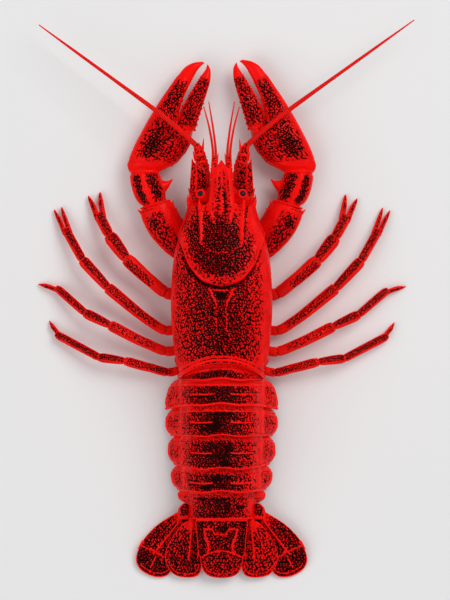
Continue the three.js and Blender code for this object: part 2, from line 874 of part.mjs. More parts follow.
// The two sides are alike but for the claw's size, the feeler's length and small turns, in degrees.
const sides = {
  left: {
    mirror: -1,
    whip: { length: 75.4, heading: 37.5 },
    clawSize: 1,
    clawTurn: 27,
    legTurns: [0.5, 0, 0.9, 0],
  },
  right: {
    mirror: 1,
    whip: { length: 79.6, heading: 36.9 },
    clawSize: 1.01,
    clawTurn: 26.2,
    legTurns: [-0.9, -0.4, 0, -0.7],
  },
};
const radians = THREE.MathUtils.degToRad;
for (const [name, { mirror, whip, clawSize, clawTurn, legTurns }] of Object.entries(sides)) {
  const side = new THREE.Group();
  side.scale.x = mirror;
  crayfish.add(side);

  piece(side, `fan_hinge_${name}`, fanHinge(), shellRed);
  piece(side, `fan_inner_${name}`, innerBlade(), shellRed);
  piece(side, `fan_outer_${name}`, outerBlade(), shellRed);

  piece(side, `mouth_leg_${name}`, mouthLeg(), legRed);
  piece(side, `eye_${name}`, eye(), eyeBlack);
  piece(side, `feeler_scale_${name}`, feelerScale(), shellRed);
  piece(side, `feeler_root_${name}`, feelerRoot(), legRed);
  piece(side, `feeler_${name}`, feeler(whip), feelerRed, feelerBase);
  piece(side, `short_feelers_${name}`, shortFeelers(), feelerRed);

  piece(side, `claw_arm_${name}`, arm(), shellRed);
  piece(side, `claw_wrist_${name}`, wrist(), shellRed);
  const claw = new THREE.Group();
  claw.position.set(...clawAt);
  claw.rotation.z = radians(clawTurn);
  claw.scale.setScalar(clawSize);
  side.add(claw);
  piece(claw, `claw_hand_${name}`, hand(), shellRed);
  piece(claw, `claw_finger_${name}`, movingFinger(), shellRed);

  legs.forEach((leg, i) => {
    const hip = leg.joints[0];
    const whole = new THREE.Group();
    whole.position.set(...hip);
    whole.rotation.z = radians(legTurns[i]);
    side.add(whole);
    const back = hip.map((v) => -v);
    piece(whole, `leg_${i + 1}_thigh_${name}`, toThigh(leg), legRed, back);
    piece(whole, `leg_${i + 1}_shin_${name}`, toShin(leg), legRed, back);
    piece(whole, `leg_${i + 1}_foot_${name}`, toFoot(leg), legRed, back);
  });
}

export default crayfish;
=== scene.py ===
import functools
import math
import random

import bmesh
import bpy
from mathutils import Matrix, Vector, noise


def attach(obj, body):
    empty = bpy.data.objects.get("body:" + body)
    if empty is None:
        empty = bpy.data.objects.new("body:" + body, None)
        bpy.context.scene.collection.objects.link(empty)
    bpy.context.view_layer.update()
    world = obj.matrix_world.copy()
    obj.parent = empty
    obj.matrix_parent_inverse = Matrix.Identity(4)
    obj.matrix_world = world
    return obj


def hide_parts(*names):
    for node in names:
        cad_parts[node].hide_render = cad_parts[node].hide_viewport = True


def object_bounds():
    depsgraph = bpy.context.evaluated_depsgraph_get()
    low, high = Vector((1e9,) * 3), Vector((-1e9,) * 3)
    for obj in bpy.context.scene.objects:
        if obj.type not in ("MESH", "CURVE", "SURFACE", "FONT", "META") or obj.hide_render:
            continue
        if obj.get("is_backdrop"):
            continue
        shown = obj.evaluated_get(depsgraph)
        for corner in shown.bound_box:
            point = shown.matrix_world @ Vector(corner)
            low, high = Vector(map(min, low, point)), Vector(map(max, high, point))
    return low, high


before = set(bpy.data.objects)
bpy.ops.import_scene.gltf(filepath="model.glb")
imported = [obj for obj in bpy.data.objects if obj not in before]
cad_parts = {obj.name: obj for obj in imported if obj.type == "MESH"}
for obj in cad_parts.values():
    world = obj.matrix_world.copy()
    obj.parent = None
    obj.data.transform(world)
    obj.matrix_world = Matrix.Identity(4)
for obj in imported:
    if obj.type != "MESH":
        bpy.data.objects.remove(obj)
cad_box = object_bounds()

for spare in ("Cube", "Light", "Camera"):
    if spare in bpy.data.objects:
        bpy.data.objects.remove(bpy.data.objects[spare])

# THE SHIELD
# The carapace is one hard plate of boiled-red shell over head and chest. It is pitted and grained on
# the back, smooth on its rims, and crossed by the neck groove. All lengths here are in millimetres.

# Rows of y, half width, height of the top and height of the lower edge.
shield_rows = [
    (-30, 15.4, 25.6, 9), (-24, 17.1, 28.4, 7.6), (-14, 18.6, 31, 7), (-2, 19.3, 32.7, 7), (8, 19, 33, 7.2),
    (17, 18.1, 32.2, 8.1), (26, 15.9, 30.4, 9.4), (33, 13.7, 28.4, 10.6), (37.6, 12.3, 26.6, 12),
    (39.2, 10.4, 24.6, 14),
]
shield_half, shield_top, shield_low = ([(row[0], row[k]) for row in shield_rows] for k in (1, 2, 3))
# The half width of the field along the back at each y, and the neck groove's y at each lean from the top.
field_line = [(-16, 4.4), (-13.4, 3), (-11, 1.75), (-2.7, 1.6), (-0.5, 2), (2, 3.2), (4.8, 4.5)]
neck_line = [(0, 5), (0.36, 6.8), (0.74, 12.6), (1, 18.6), (1.3, 22.6), (1.7, 25.6)]


def along(stations, x):
    """The value at x of a smooth line through (x, value) stations."""
    last = len(stations) - 1
    if x <= stations[0][0]:
        return stations[0][1]
    if x >= stations[last][0]:
        return stations[last][1]
    i = next(k for k in range(last) if stations[k + 1][0] > x)
    (x0, y0), (x1, y1) = stations[i], stations[i + 1]
    here = (y1 - y0) / (x1 - x0)

    def eased(k):
        before = (stations[k][1] - stations[k - 1][1]) / (stations[k][0] - stations[k - 1][0])
        after = (stations[k + 1][1] - stations[k][1]) / (stations[k + 1][0] - stations[k][0])
        return 0 if before * after <= 0 else 2 * before * after / (before + after)

    start = eased(i) if i > 0 else here
    end = eased(i + 1) if i + 1 < last else here
    t = (x - x0) / (x1 - x0)
    return y0 + (y1 - y0) * t * t * (3 - 2 * t) + (x1 - x0) * t * (1 - t) * (start * (1 - t) - end * t)


def oval(angle, half, rise, drop, fullness):
    """A point of an oval that is fuller than an ellipse."""
    c, s = math.cos(angle), math.sin(angle)
    return (
        math.copysign(half * abs(c) ** (2 / fullness), c),
        math.copysign((rise if s > 0 else drop) * abs(s) ** (2 / fullness), s),
    )


def hump(distance, width):
    """1 on a line and 0 a few widths beside it."""
    return math.exp(-((distance / width) ** 2))


def clamp(x):
    return min(1.0, max(0.0, x))


def smooth(x):
    x = clamp(x)
    return x * x * (3 - 2 * x)


def past(x, start, run):
    """0 before start and 1 from a run past it."""
    return smooth((x - start) / run)


def until(x, end, run):
    """1 up to a run before end and 0 after it."""
    return smooth((end - x) / run)


def swelling(x):
    """0 to 1 as a rounded end opens."""
    return math.sin(x * math.pi / 2)


def between_ends(v, cap):
    """How far v is along a shell that closes over a share cap at both ends, and how open it is there."""
    return clamp((v - cap) / (1 - 2 * cap)), min(1.0, v / cap, (1 - v) / cap)


marks = ("stain", "bare", "down", "aside")


def plate(rows, columns, point):
    """A grid whose vertices go to point(share along, share across), with their stain and bareness.
    It also keeps how far along and around the shell each vertex lies."""
    bm = bmesh.new()
    stain, bare, down, aside = (bm.verts.layers.float.new(mark) for mark in marks)
    bmesh.ops.create_grid(bm, x_segments=columns, y_segments=rows, size=0.5)
    for vert in bm.verts:
        x, y, z, vert[stain], vert[bare] = point(vert.co.y + 0.5, vert.co.x + 0.5)
        vert.co = x, y, z
    verts = list(bm.verts)
    lines = [verts[k : k + columns + 1] for k in range(0, len(verts), columns + 1)]
    middle = max(range(columns + 1), key=lambda k: lines[rows // 2][k].co.z)
    far = 0.0
    for k, line in enumerate(lines):
        far += (line[middle].co - lines[k - 1][middle].co).length if k else 0.0
        for step, stop in ((1, columns + 1), (-1, -1)):
            reach = 0.0
            for i in range(middle, stop, step):
                reach += (line[i].co - line[i - step].co).length if i != middle else 0.0
                line[i][down], line[i][aside] = far, reach * step
    bmesh.ops.remove_doubles(bm, verts=bm.verts, dist=1e-3)
    bmesh.ops.recalc_face_normals(bm, faces=bm.faces)
    return bm


def grain(bm, spacing, lift, seed=0):
    """Sets a net of small round grains on dark ground. The dark mark, partly pigment and partly painted shade,
    says how much ground shows between them.
    """
    stain, bare, down, aside = (bm.verts.layers.float[mark] for mark in marks)
    row_step = 0.866  # rows of a three-cornered net lie closer than the grains of a row
    bm.normal_update()

    @functools.lru_cache(maxsize=None)
    def spot(i, j):
        pick = noise.cell_vector(Vector((i + 0.5, j + 0.5, seed + 0.5)))
        return i + 0.5 * (j % 2) + 0.72 * (pick.x - 0.5), row_step * j + 0.66 * (pick.y - 0.5), pick.z

    places = []
    for vert in bm.verts:
        tone, clear = vert[stain], 1 - vert[bare]
        if tone < 0.02 or clear < 0.04:
            places.append(vert.co.copy())
            vert[stain] = 0.5 * tone * clear
            continue
        s, t = vert[aside] / spacing, vert[down] / spacing
        j = round(t / row_step)
        far, chance = 9.0, 0.5
        for b in (j - 1, j, j + 1):
            i = round(s - 0.5 * (b % 2))
            for a in (i - 1, i, i + 1):
                x, y, pick = spot(a, b)
                gap = (x - s) ** 2 + (y - t) ** 2
                if gap < far:
                    far, chance = gap, pick
        dark = smooth(tone + 0.1 * noise.noise(vert.co * 0.5) + 0.06 * noise.noise(vert.co * 1.7))
        dark *= 0.87 + 0.125 * past(tone, 0.93, 0.05)
        reach = 0.53 * math.sqrt(1 - dark) * (0.78 + 0.44 * chance)
        ground = smooth((math.sqrt(far) - reach) / 0.2 + 0.5) * min(1.0, 5 * dark)
        rise = 0.6 * max(0.0, 1 - far / reach**2) - 0.5 * ground
        places.append(vert.co + vert.normal * lift * clear * rise)
        vert[stain] = clear * max(ground, 0.16 * dark)
    for vert, place in zip(bm.verts, places):
        vert.co = place
    return bm


def add(bm, other):
    """Puts the mesh of other into bm."""
    holder = bpy.data.meshes.new("holder")
    other.to_mesh(holder)
    other.free()
    bm.from_mesh(holder)
    bpy.data.meshes.remove(holder)
    return bm


def settle(name, bm, material, slot, *nodes):
    """Makes the finished mesh in metres, at the origin, and fixes it to the frame."""
    bmesh.ops.scale(bm, vec=(0.001, 0.001, 0.001), verts=bm.verts)
    for mark in marks[2:]:
        layer = bm.verts.layers.float.get(mark)
        if layer:
            bm.verts.layers.float.remove(layer)
    for face in bm.faces:
        face.smooth = True
    mesh = bpy.data.meshes.new(name)
    bm.to_mesh(mesh)
    bm.free()
    mesh.materials.append(material)
    made = bpy.data.objects.new(name, mesh)
    bpy.context.scene.collection.objects.link(made)
    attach(made, "root")
    if nodes:
        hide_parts(*nodes)
    return made


def settle_side(side, material, slot, replacing=True, **pieces):
    """Settles pieces made for the right side (1), or mirrors them over to the left (-1)."""
    for name, bm in pieces.items():
        if side < 0:
            bmesh.ops.scale(bm, vec=(-1, 1, 1), verts=bm.verts)
            bmesh.ops.reverse_faces(bm, faces=bm.faces)
        name += "_right" if side > 0 else "_left"
        settle(name, bm, material, slot, *([name] if replacing else []))


def path(points, t):
    """A point of the smooth curve through points at share t."""
    last = len(points) - 1
    at = clamp(t) * last
    i = min(int(at), last - 1)
    f = at - i
    b, c = points[i], points[i + 1]
    a = points[i - 1] if i else [2 * p - q for p, q in zip(b, c)]
    d = points[i + 2] if i + 2 <= last else [2 * q - p for p, q in zip(b, c)]
    return [
        0.5 * (2 * q + (r - p) * f + (2 * p - 5 * q + 4 * r - s) * f * f + (3 * q - p - 3 * r + s) * f**3)
        for p, q, r, s in zip(a, b, c, d)
    ]


def plain_red(t, across, up):
    return 0, 0, 1


def limb(points, rings, sides, detail=plain_red, fullness=2.2, cap=0.05):
    """A tube along points (x, y, z, half width, half height), closed at both ends.
    detail(share, across, up) gives how far the shell stands out there, its stain and bareness."""
    widths = [(i, p[3]) for i, p in enumerate(points)]
    heights = [(i, p[4]) for i, p in enumerate(points)]
    spine = [p[:3] for p in points]

    @functools.lru_cache(maxsize=4)
    def section(t):
        ahead = Vector(path(spine, min(1, t + 0.01))) - Vector(path(spine, max(0, t - 0.01)))
        ahead.normalize()
        sideways = Vector((0, 0, 1)).cross(ahead).normalized() * -1
        at = t * (len(points) - 1)
        here = Vector(path(spine, t))
        return here, sideways, sideways.cross(ahead), ahead, along(widths, at), along(heights, at)

    def point(v, u):
        t, open_share = between_ends(v, cap)
        centre, sideways, upward, ahead, width, height = section(round(t, 6))
        across, up = oval(2 * math.pi * u, 1, 1, 1, fullness)
        out, stain, bare = detail(t, across, up)
        open_share = swelling(open_share)
        reach = open_share * (1 + out / math.hypot(across * width, up * height))
        dome = (1 if v > 0.5 else -1) * 0.3 * height * (1 - open_share)
        place = centre + (sideways * across * width + upward * up * height) * reach + ahead * dome
        return *place, stain, bare

    return plate(rings, sides, point)


def thorn(root, tip, radius, bend=(0, 0, 0)):
    """A smooth bare thorn of shell, which may bend on its way to the tip."""
    root, tip = Vector(root), Vector(tip)
    middle = (root + tip) / 2 + Vector(bend)
    rows = [(*root, radius, radius), (*middle, radius * 0.62, radius * 0.62), (*tip, 0.08, 0.08)]
    return limb(rows, 10, 10, fullness=2)


def thorns(bm, *rows):
    """Sets thorns on bm, one for each row of (root, tip, radius, bend)."""
    for row in rows:
        add(bm, thorn(*row))


def effect(name, inputs, outputs):
    """An empty shader effect with its sockets."""
    group = bpy.data.node_groups.new(name, "ShaderNodeTree")
    for label, kind in inputs:
        group.interface.new_socket(label, in_out="INPUT", socket_type="NodeSocket" + kind)
    for label, kind in outputs:
        group.interface.new_socket(label, in_out="OUTPUT", socket_type="NodeSocket" + kind)
    return group, group.nodes.new("NodeGroupInput").outputs, group.nodes.new("NodeGroupOutput").inputs


def node(tree, kind, settings=None, **inputs):
    """A shader node of tree. An input is a socket to link or a plain value."""
    made = tree.nodes.new("ShaderNode" + kind)
    for key, value in (settings or {}).items():
        setattr(made, key, value)
    for key, value in inputs.items():
        target = made.inputs[int(key[1:]) if key[1:].isdigit() else key.replace("_", " ")]
        if isinstance(value, bpy.types.NodeSocket):
            tree.links.new(value, target)
        else:
            target.default_value = value
    return made


def sums(tree, operation, a, b=0.0):
    return node(tree, "Math", {"operation": operation}, s0=a, s1=b).outputs[0]


def blended(tree, share, a, b):
    return node(tree, "Mix", {"data_type": "RGBA"}, s0=share, s6=a, s7=b).outputs[2]


# Boiled pigment: bright red that clouds into crimson, and a dark stain and painted shade that fill the ground
# between grains.
pigment, given, result = effect(
    "boiled_pigment",
    [("Place", "Vector"), ("Stain", "Float"), ("Bare", "Float")]
    + [("Bright", "Color"), ("Cloud", "Color"), ("Deep", "Color")],
    [("Color", "Color"), ("Roughness", "Float"), ("Gloss", "Float")],
)
clouds = node(pigment, "TexNoise", Vector=given["Place"], Scale=150.0, Detail=5.0, Roughness=0.6).outputs[0]
specks = node(pigment, "TexNoise", Vector=given["Place"], Scale=2400.0, Detail=3.0, Roughness=0.6).outputs[0]
clouded = node(pigment, "MapRange", s0=clouds, s1=0.36, s2=0.68).outputs[0]
clouded = sums(pigment, "MULTIPLY", clouded, sums(pigment, "SUBTRACT", 1.0, given["Bare"]))
deep_share = sums(pigment, "MULTIPLY", sums(pigment, "SUBTRACT", specks, 0.5), 0.5)
deep_share = sums(pigment, "ADD", given["Stain"], deep_share)
deep_share = node(pigment, "MapRange", s0=deep_share, s1=0.14, s2=0.66).outputs[0]
ground = blended(pigment, clouded, given["Bright"], given["Cloud"])
pigment.links.new(blended(pigment, deep_share, ground, given["Deep"]), result["Color"])
dull = sums(pigment, "ADD", 0.3, sums(pigment, "MULTIPLY", deep_share, 0.2))
dull = sums(pigment, "ADD", dull, sums(pigment, "MULTIPLY", specks, 0.12))
dull = sums(pigment, "SUBTRACT", dull, sums(pigment, "MULTIPLY", given["Bare"], 0.1))
pigment.links.new(dull, result["Roughness"])
pigment.links.new(sums(pigment, "SUBTRACT", 1.0, sums(pigment, "MULTIPLY", deep_share, 0.9)), result["Gloss"])

# Pores: the finest pits of the shell, each a fraction of a millimetre.
pores, given, result = effect("shell_pores", [("Place", "Vector"), ("Bare", "Float")], [("Height", "Float")])
cells = node(pores, "TexVoronoi", Vector=given["Place"], Scale=1900.0).outputs[0]
waves = node(pores, "TexNoise", Vector=given["Place"], Scale=700.0, Detail=3.0).outputs[0]
deep = node(pores, "MapRange", s0=cells, s1=0.05, s2=0.4).outputs[0]
rough = sums(pores, "ADD", sums(pores, "MULTIPLY", deep, 0.6), waves)
flat = sums(pores, "SUBTRACT", 1.0, sums(pores, "MULTIPLY", given["Bare"], 0.7))
pores.links.new(sums(pores, "MULTIPLY", rough, flat), result["Height"])


def blank(name):
    """A new material with its node tree and the inputs of its surface."""
    material = bpy.data.materials.new(name)
    material.use_nodes = True
    return material, material.node_tree, material.node_tree.nodes["Principled BSDF"].inputs


def shell_finish(name, bright, cloud, deep, coat=0.08, relief=0.35):
    """Boiled shell in a bright red that clouds into another, with the deep tone between the grains."""
    material, tree, surface = blank(name)
    place = node(tree, "TexCoord").outputs["Object"]
    stain = node(tree, "Attribute", {"attribute_name": "stain"}).outputs["Fac"]
    bare = node(tree, "Attribute", {"attribute_name": "bare"}).outputs["Fac"]
    reds = dict(Bright=(*bright, 1), Cloud=(*cloud, 1), Deep=(*deep, 1))
    colours = node(tree, "Group", {"node_tree": pigment}, Place=place, Stain=stain, Bare=bare, **reds).outputs
    height = node(tree, "Group", {"node_tree": pores}, Place=place, Bare=bare).outputs["Height"]
    bump = node(tree, "Bump", Strength=relief, Distance=0.00025, Height=height)
    tree.links.new(colours["Color"], surface["Base Color"])
    tree.links.new(colours["Roughness"], surface["Roughness"])
    tree.links.new(bump.outputs[0], surface["Normal"])
    tree.links.new(sums(tree, "MULTIPLY", colours["Gloss"], coat), surface["Coat Weight"])
    surface["Coat Roughness"].default_value = 0.14
    surface["Specular IOR Level"].default_value = 0.03
    surface["Specular Tint"].default_value = (1, 0.45, 0.4, 1)
    return material


shell = shell_finish("boiled_shell", (0.92, 0.005, 0.003), (0.66, 0.003, 0.003), (0.012, 0.0008, 0.0008))


def on_shield(y, angle, lift=0.0, reach=1.0):
    """A point of the shield. A quarter turn is the top, and lift stands out from it."""
    half, top, low = along(shield_half, y), along(shield_top, y), along(shield_low, y)
    widest = low + 0.34 * (top - low)
    x, z = oval(angle, half, top - widest, widest - low, 2.15 if math.sin(angle) > 0 else 2.9)
    grow = reach * (1 + lift / math.hypot(x, z))
    return x * grow, y, widest + z * grow


def rear_edge(x):
    return -23.7 - 4.9 * (min(abs(x), 17) / 15.6) ** 2.2


# How deep the stain is, first from the middle of the back to the flank and then from rear to front.
stain_across = [(0, 0.88), (7, 0.8), (11, 0.68), (14, 0.5), (16.3, 0.32), (17.6, 0.12), (18.6, 0.05)]
stain_along = [
    (-30, 0), (-25, 0.2), (-22, 0.8), (-14, 0.9), (2, 0.88), (6, 0.86), (13, 1), (26, 1), (32, 0.75),
    (36, 0.3), (39, 0.2),
]


def shield_detail(x, y, angle):
    """How far the shell stands out at a place of the shield, its stain and its bareness."""
    lean = abs(math.pi / 2 - angle)
    aside = abs(x)
    # The stain is lopsided: painted shade further out on the left flank and cheek, painted light on the right
    # cheek.
    share = 19 * abs(x + 1.2) / along(shield_half, y)
    stain = along(stain_across, share if lean < 1.5 else 19)
    stain = max(stain, 0.36 * past(lean, 1.42, 0.2))
    stain *= 1 + (0.25 if x < 0 else -0.5) * hump(y - 29, 6) * past(share, 8, 3)
    stain *= along(stain_along, y)
    lift, bare = -0.55 * until(lean, 1.2, 0.8), 0.0
    # The neck groove, with painted shade in it, and the thick smooth welt in front of it.
    if lean < 1.75:
        slope = (along(neck_line, lean + 0.03) - along(neck_line, lean - 0.03)) / (0.06 * 18.5)
        off = (y - along(neck_line, lean)) / math.hypot(1, slope)
        fade = until(lean, 1.75, 0.3)
        lift -= 0.95 * fade * hump(off, 0.7)
        welt = fade * past(off, 0.5, 0.9) * until(off, 5.0, 1.6)
        lip = fade * past(off, 0.3, 0.4) * until(off, 1.1 + 1.1 * past(aside, 2, 4), 0.6)
        lift += 0.45 * welt
        stain = stain * (1 - 0.6 * welt) * (1 - 0.95 * lip) + 0.3 * fade * hump(off + 0.1, 0.55)
        bare = max(bare, 0.75 * lip)
    # The two lines that bound the narrow field along the middle of the back.
    if y < 5.5:
        off = aside - along(field_line, y)
        fade = past(y, -15, 3) * until(y, 5.5, 1)
        line = fade * (0.5 + 0.5 * past(y, -4, 4)) * hump(off - 0.3, 0.24 + 0.16 * past(y, -4, 4))
        lift += 0.3 * line - 0.35 * fade * hump(off + 0.35, 0.35)
        stain = stain * (1 - 0.95 * line)
        bare = max(bare, 0.8 * line)
        # Between them, a short arc in front of a dark three-cornered pit.
        arc = hump(y - 4.1, 0.28) * until(aside, 2.9, 0.6)
        lift += 0.2 * arc - 0.2 * hump(y - 2.4, 1.2) * until(aside, 1.6, 0.6)
        pit = until(abs(y - 2), 1.7, 0.5) * until(aside, along(field_line, y) - 0.9, 0.5)
        stain = max(stain, pit) * (1 - arc)
        bare = max(bare, 0.7 * arc)
    # The ridge behind each eye, and the side ridges of the beak that run on over the head.
    if y > 17 and lean < 1.2:
        off = aside - along([(20, 8.2), (24, 7.9), (30, 8), (36, 8.4)], y)
        fade = past(y, 20.5, 4)
        ridge = fade * hump(off, 0.55)
        lift += 0.7 * ridge - 0.3 * fade * hump(off + 1.4, 0.7)
        stain = max(stain, 0.8 * fade * hump(off - 1.3, 0.5)) * (1 - 0.95 * ridge)
        bare = max(bare, 0.9 * ridge)
        off = aside - along([(24, 2.6), (30, 3.2), (36, 4.5), (39, 5)], y)
        ridge = past(y, 27, 7) * hump(off, 0.7)
        lift += 0.5 * ridge
        stain *= 1 - 0.9 * ridge
        bare = max(bare, 0.8 * ridge)
        stain *= 1 - 0.5 * hump(y - 18.4 - 0.05 * x * x, 0.45) * until(aside, 9, 1.5)
        mark = hump(y - 34.4, 0.4) * until(aside, 3.4, 1.5)
        lift += 0.25 * mark
        stain *= 1 - mark
    # The rim at the rear edge, with its line in front, and painted shade in the two grooves before the rim.
    ahead = y - rear_edge(x)
    if ahead < 5 and lean < 1.9:
        lift += 0.3 * until(ahead, 1.9, 0.4) - 0.3 * hump(ahead - 2.1, 0.3) - 0.25 * hump(ahead - 0.6, 0.25)
        stain *= past(ahead, 2.4, 1.2)
        inner_groove_shade = 0.85 * hump(ahead - 0.6, 0.25) * until(aside, 13, 4)
        stain = max(stain, 0.7 * hump(ahead - 2.05, 0.22), inner_groove_shade)
        ridges = max(hump(ahead - 2.6, 0.3), hump(ahead - 1.3, 0.4), until(ahead, 0.3, 0.15))
        bare = max(bare, 0.85 * ridges)
        stain *= 1 - bare
    # The rim along the lower edge of each flank.
    low = min(abs(angle + 0.8), abs(angle - math.pi - 0.8), abs(angle - 2 * math.pi + 0.8))
    lift += 0.4 * hump(low, 0.1) - 0.3 * hump(low - 0.24, 0.09)
    if low < 0.15:
        bare = max(bare, 0.8)
    return lift, stain, bare


# Shares of the mesh around the shield for its outside and for its open belly side, and along it for its
# rounded rear and front and what lies between them.
back_share, under_share, rear_share, front_share, length_share = 0.9, 0.1, 0.03, 0.06, 0.91
flank_turn, front_rim = 0.85, 37.2  # the flanks turn in this far, in radians below level


def shield_point(v, u):
    if u < back_share:
        angle = -flank_turn + (math.pi + 2 * flank_turn) * u / back_share
    else:
        angle = math.pi + flank_turn + (math.pi - 2 * flank_turn) * (u - back_share) / under_share
    rear = rear_edge(on_shield(-26, angle)[0])
    if v < rear_share:
        closing = v / rear_share
        reach = along([(0, 0), (0.5, 0.9), (0.8, 0.965), (1, 1)], closing)
        y = rear + along([(0, 2), (0.5, 0.9), (0.8, 0.15), (1, 0)], closing)
    elif v > 1 - front_share:
        closing = (1 - v) / front_share
        reach = swelling(closing) ** 0.7
        y = front_rim + 2 * math.cos(closing * math.pi / 2)
    else:
        reach = 1.0
        y = rear + (front_rim - rear) * (v - rear_share) / length_share
    x = on_shield(y, angle)[0]
    lift, stain, bare = shield_detail(x, y, angle)
    x, y, z = on_shield(y, angle, lift, reach)
    # A hollow in front holds each eye.
    socket = hump(math.hypot(abs(x) - 7.6, z - 21.4), 3.2)
    return x, y - 3 * socket * past(y, 34, 4), z, stain, bare


def beak_detail(t, across, up):
    on_top, aside = up > 0, abs(across)
    body = past(t, 0.08, 0.3) * until(t, 0.93, 0.15)
    hollow = max(0.0, 1 - (across / 0.78) ** 2) if on_top else 0.0
    keel = hump(across, 0.1) * until(t, 0.9, 0.5) if on_top else 0.0
    edge = past(aside, 0.74, 0.16)
    # A dark field on each side of the keel: stain on both sides, and painted shade that makes the right one
    # stronger.
    field_stain_and_shade = hump(across - 0.3, 0.2) * until(t, 0.5, 0.15)
    field_stain_and_shade += 0.45 * hump(across + 0.3, 0.16) * until(t, 0.42, 0.15)
    streaks = (hump(aside - 0.33, 0.09) + hump(aside - 0.66, 0.06)) * until(t, 0.85, 0.3) * on_top
    tone = 0.5 * field_stain_and_shade * on_top + 0.3 * hollow * until(t, 0.9, 0.6) + 0.3 * streaks
    lift = body * (0.4 * keel - 0.8 * hollow * (1 - 0.3 * keel))
    return lift, tone * (1 - 0.7 * keel), max(0.85 * edge, 0.6 * keel)


carapace = grain(plate(270, 320, shield_point), 1.0, 0.14)
beak_rows = [
    (0, 31.5, 24.9, 5.6, 2.4), (0, 35, 25.5, 5.3, 2.6), (0, 39, 25.2, 4.8, 2.3), (0, 44, 24.9, 4.1, 1.8),
    (0, 49.4, 24.7, 3.55, 1.3), (0, 51.2, 24.8, 1.8, 1), (0, 53.5, 25, 0.2, 0.2),
]
beak = limb(beak_rows, 90, 64, beak_detail, 2.6, 0.03)
add(carapace, grain(beak, 0.8, 0.1))
for side in (-1, 1):
    thorns(
        carapace,
        ((side * 3.1, 48, 24.9), (side * 3.3, 52.1, 25.3), 0.75),
        ((side * 8.3, 34.4, 26), (side * 8.5, 39, 26), 0.85, (0, 0, 0.3)),
        ((side * 11.9, 35.6, 18.4), (side * 12.9, 40.6, 17.6), 1.1, (side * 0.3, 0, 0)),
        ((side * 15.7, 23.5, 16.6), (side * 16.6, 26.6, 16.4), 0.7),
    )
settle("carapace", carapace, shell, "shell", "carapace")

# THE TAIL RINGS
# Six overlapping plates like a suit of armour, each with a rounded lobe on either side. A ring has a
# smooth front that slides under the ring before it, a grained band with two creases, and a smooth rim.

# Each ring: y of its front and rear, half width of its back, half widths with the lobes, height of its top in
# front and behind, height of the lobes' tips, share at the crease, how far the lobes sweep back, width of a
# bright band in front, how smooth the front is, and nearly black patches (x, share of the length, half width,
# half length, tone).
ring_sizes = [
    dict(
        front=-23.7, rear=-29.8, back=15, halves=[(0, 15.6), (1, 15.9)],
        tops=(25.6, 26), tip=5.4, crease=2, sweep=0, band=2.6, smoothing=0.6, dark=[],
    ),
    dict(
        front=-29.8, rear=-39.3, back=15.4,
        halves=[(0, 17.4), (0.1, 19), (0.45, 20.7), (0.82, 21.5), (0.95, 21.5), (1, 20.9)],
        tops=(24.4, 25.2), tip=1.4, crease=0.56, sweep=2.1, band=2.5, smoothing=0.8, dark=[],
    ),
    dict(
        front=-39.3, rear=-51.1, back=15.3,
        halves=[(0, 19.6), (0.08, 20.4), (0.36, 21.3), (0.55, 21.3), (0.75, 20.8), (0.95, 19.6), (1, 19)],
        tops=(23.7, 24.6), tip=1.2, crease=0.55, sweep=0.8, band=0, smoothing=1,
        dark=[(0.5, 0.31, 4.2, 1.4, 0.955), (-2.7, 0.63, 2.2, 3.2, 0.98), (-6.4, 0.75, 1.8, 0.8, 0.965)],
    ),
    dict(
        front=-51.1, rear=-63.7, back=14.9,
        halves=[(0, 18.7), (0.08, 19.5), (0.3, 20.3), (0.6, 20.4), (0.8, 19.7), (0.95, 18.5), (1, 17.8)],
        tops=(23, 23.4), tip=1.2, crease=0.52, sweep=-1.3, band=0, smoothing=1,
        dark=[
            (-4.3, 0.36, 3.2, 1.4, 0.955), (2.2, 0.37, 1.5, 1.5, 0.97), (-0.3, 0.61, 3.4, 1.8, 0.955),
            (1.4, 0.85, 1.9, 1.5, 0.98),
        ],
    ),
    dict(
        front=-63.7, rear=-72.5, back=14.2,
        halves=[(0, 17.6), (0.1, 18.5), (0.35, 19.3), (0.65, 18.9), (0.88, 17.6), (1, 16.3)],
        tops=(21.6, 21.8), tip=1.3, crease=0.61, sweep=0, band=0, smoothing=1,
        dark=[
            (-1.8, 0.46, 1.6, 1.4, 0.975), (-5.6, 0.82, 2.1, 1, 0.96), (2.6, 0.4, 1.2, 1, 0.96),
            (-0.4, 0.72, 1.5, 1.8, 0.955),
        ],
    ),
    dict(
        front=-72.5, rear=-83.2, back=11.6,
        halves=[(0, 16.4), (0.08, 17), (0.26, 16.4), (0.5, 13.2), (0.72, 11.9), (1, 11.4)],
        tops=(19.8, 15.8), tip=3.6, crease=2, sweep=0, band=0, smoothing=1,
        dark=[
            (-1, 0.25, 2.8, 1.4, 0.965), (2.2, 0.58, 1.3, 2.3, 0.96), (-7.4, 0.24, 2.1, 0.8, 0.96),
            (7.2, 0.54, 1.4, 0.9, 0.955),
        ],
    ),
]
ring_shade = [(0, 0.9), (3, 0.87), (6, 0.76), (9.5, 0.64), (12.5, 0.48), (14.2, 0.36), (15.3, 0.24)]
wall_thickness = 0.0008

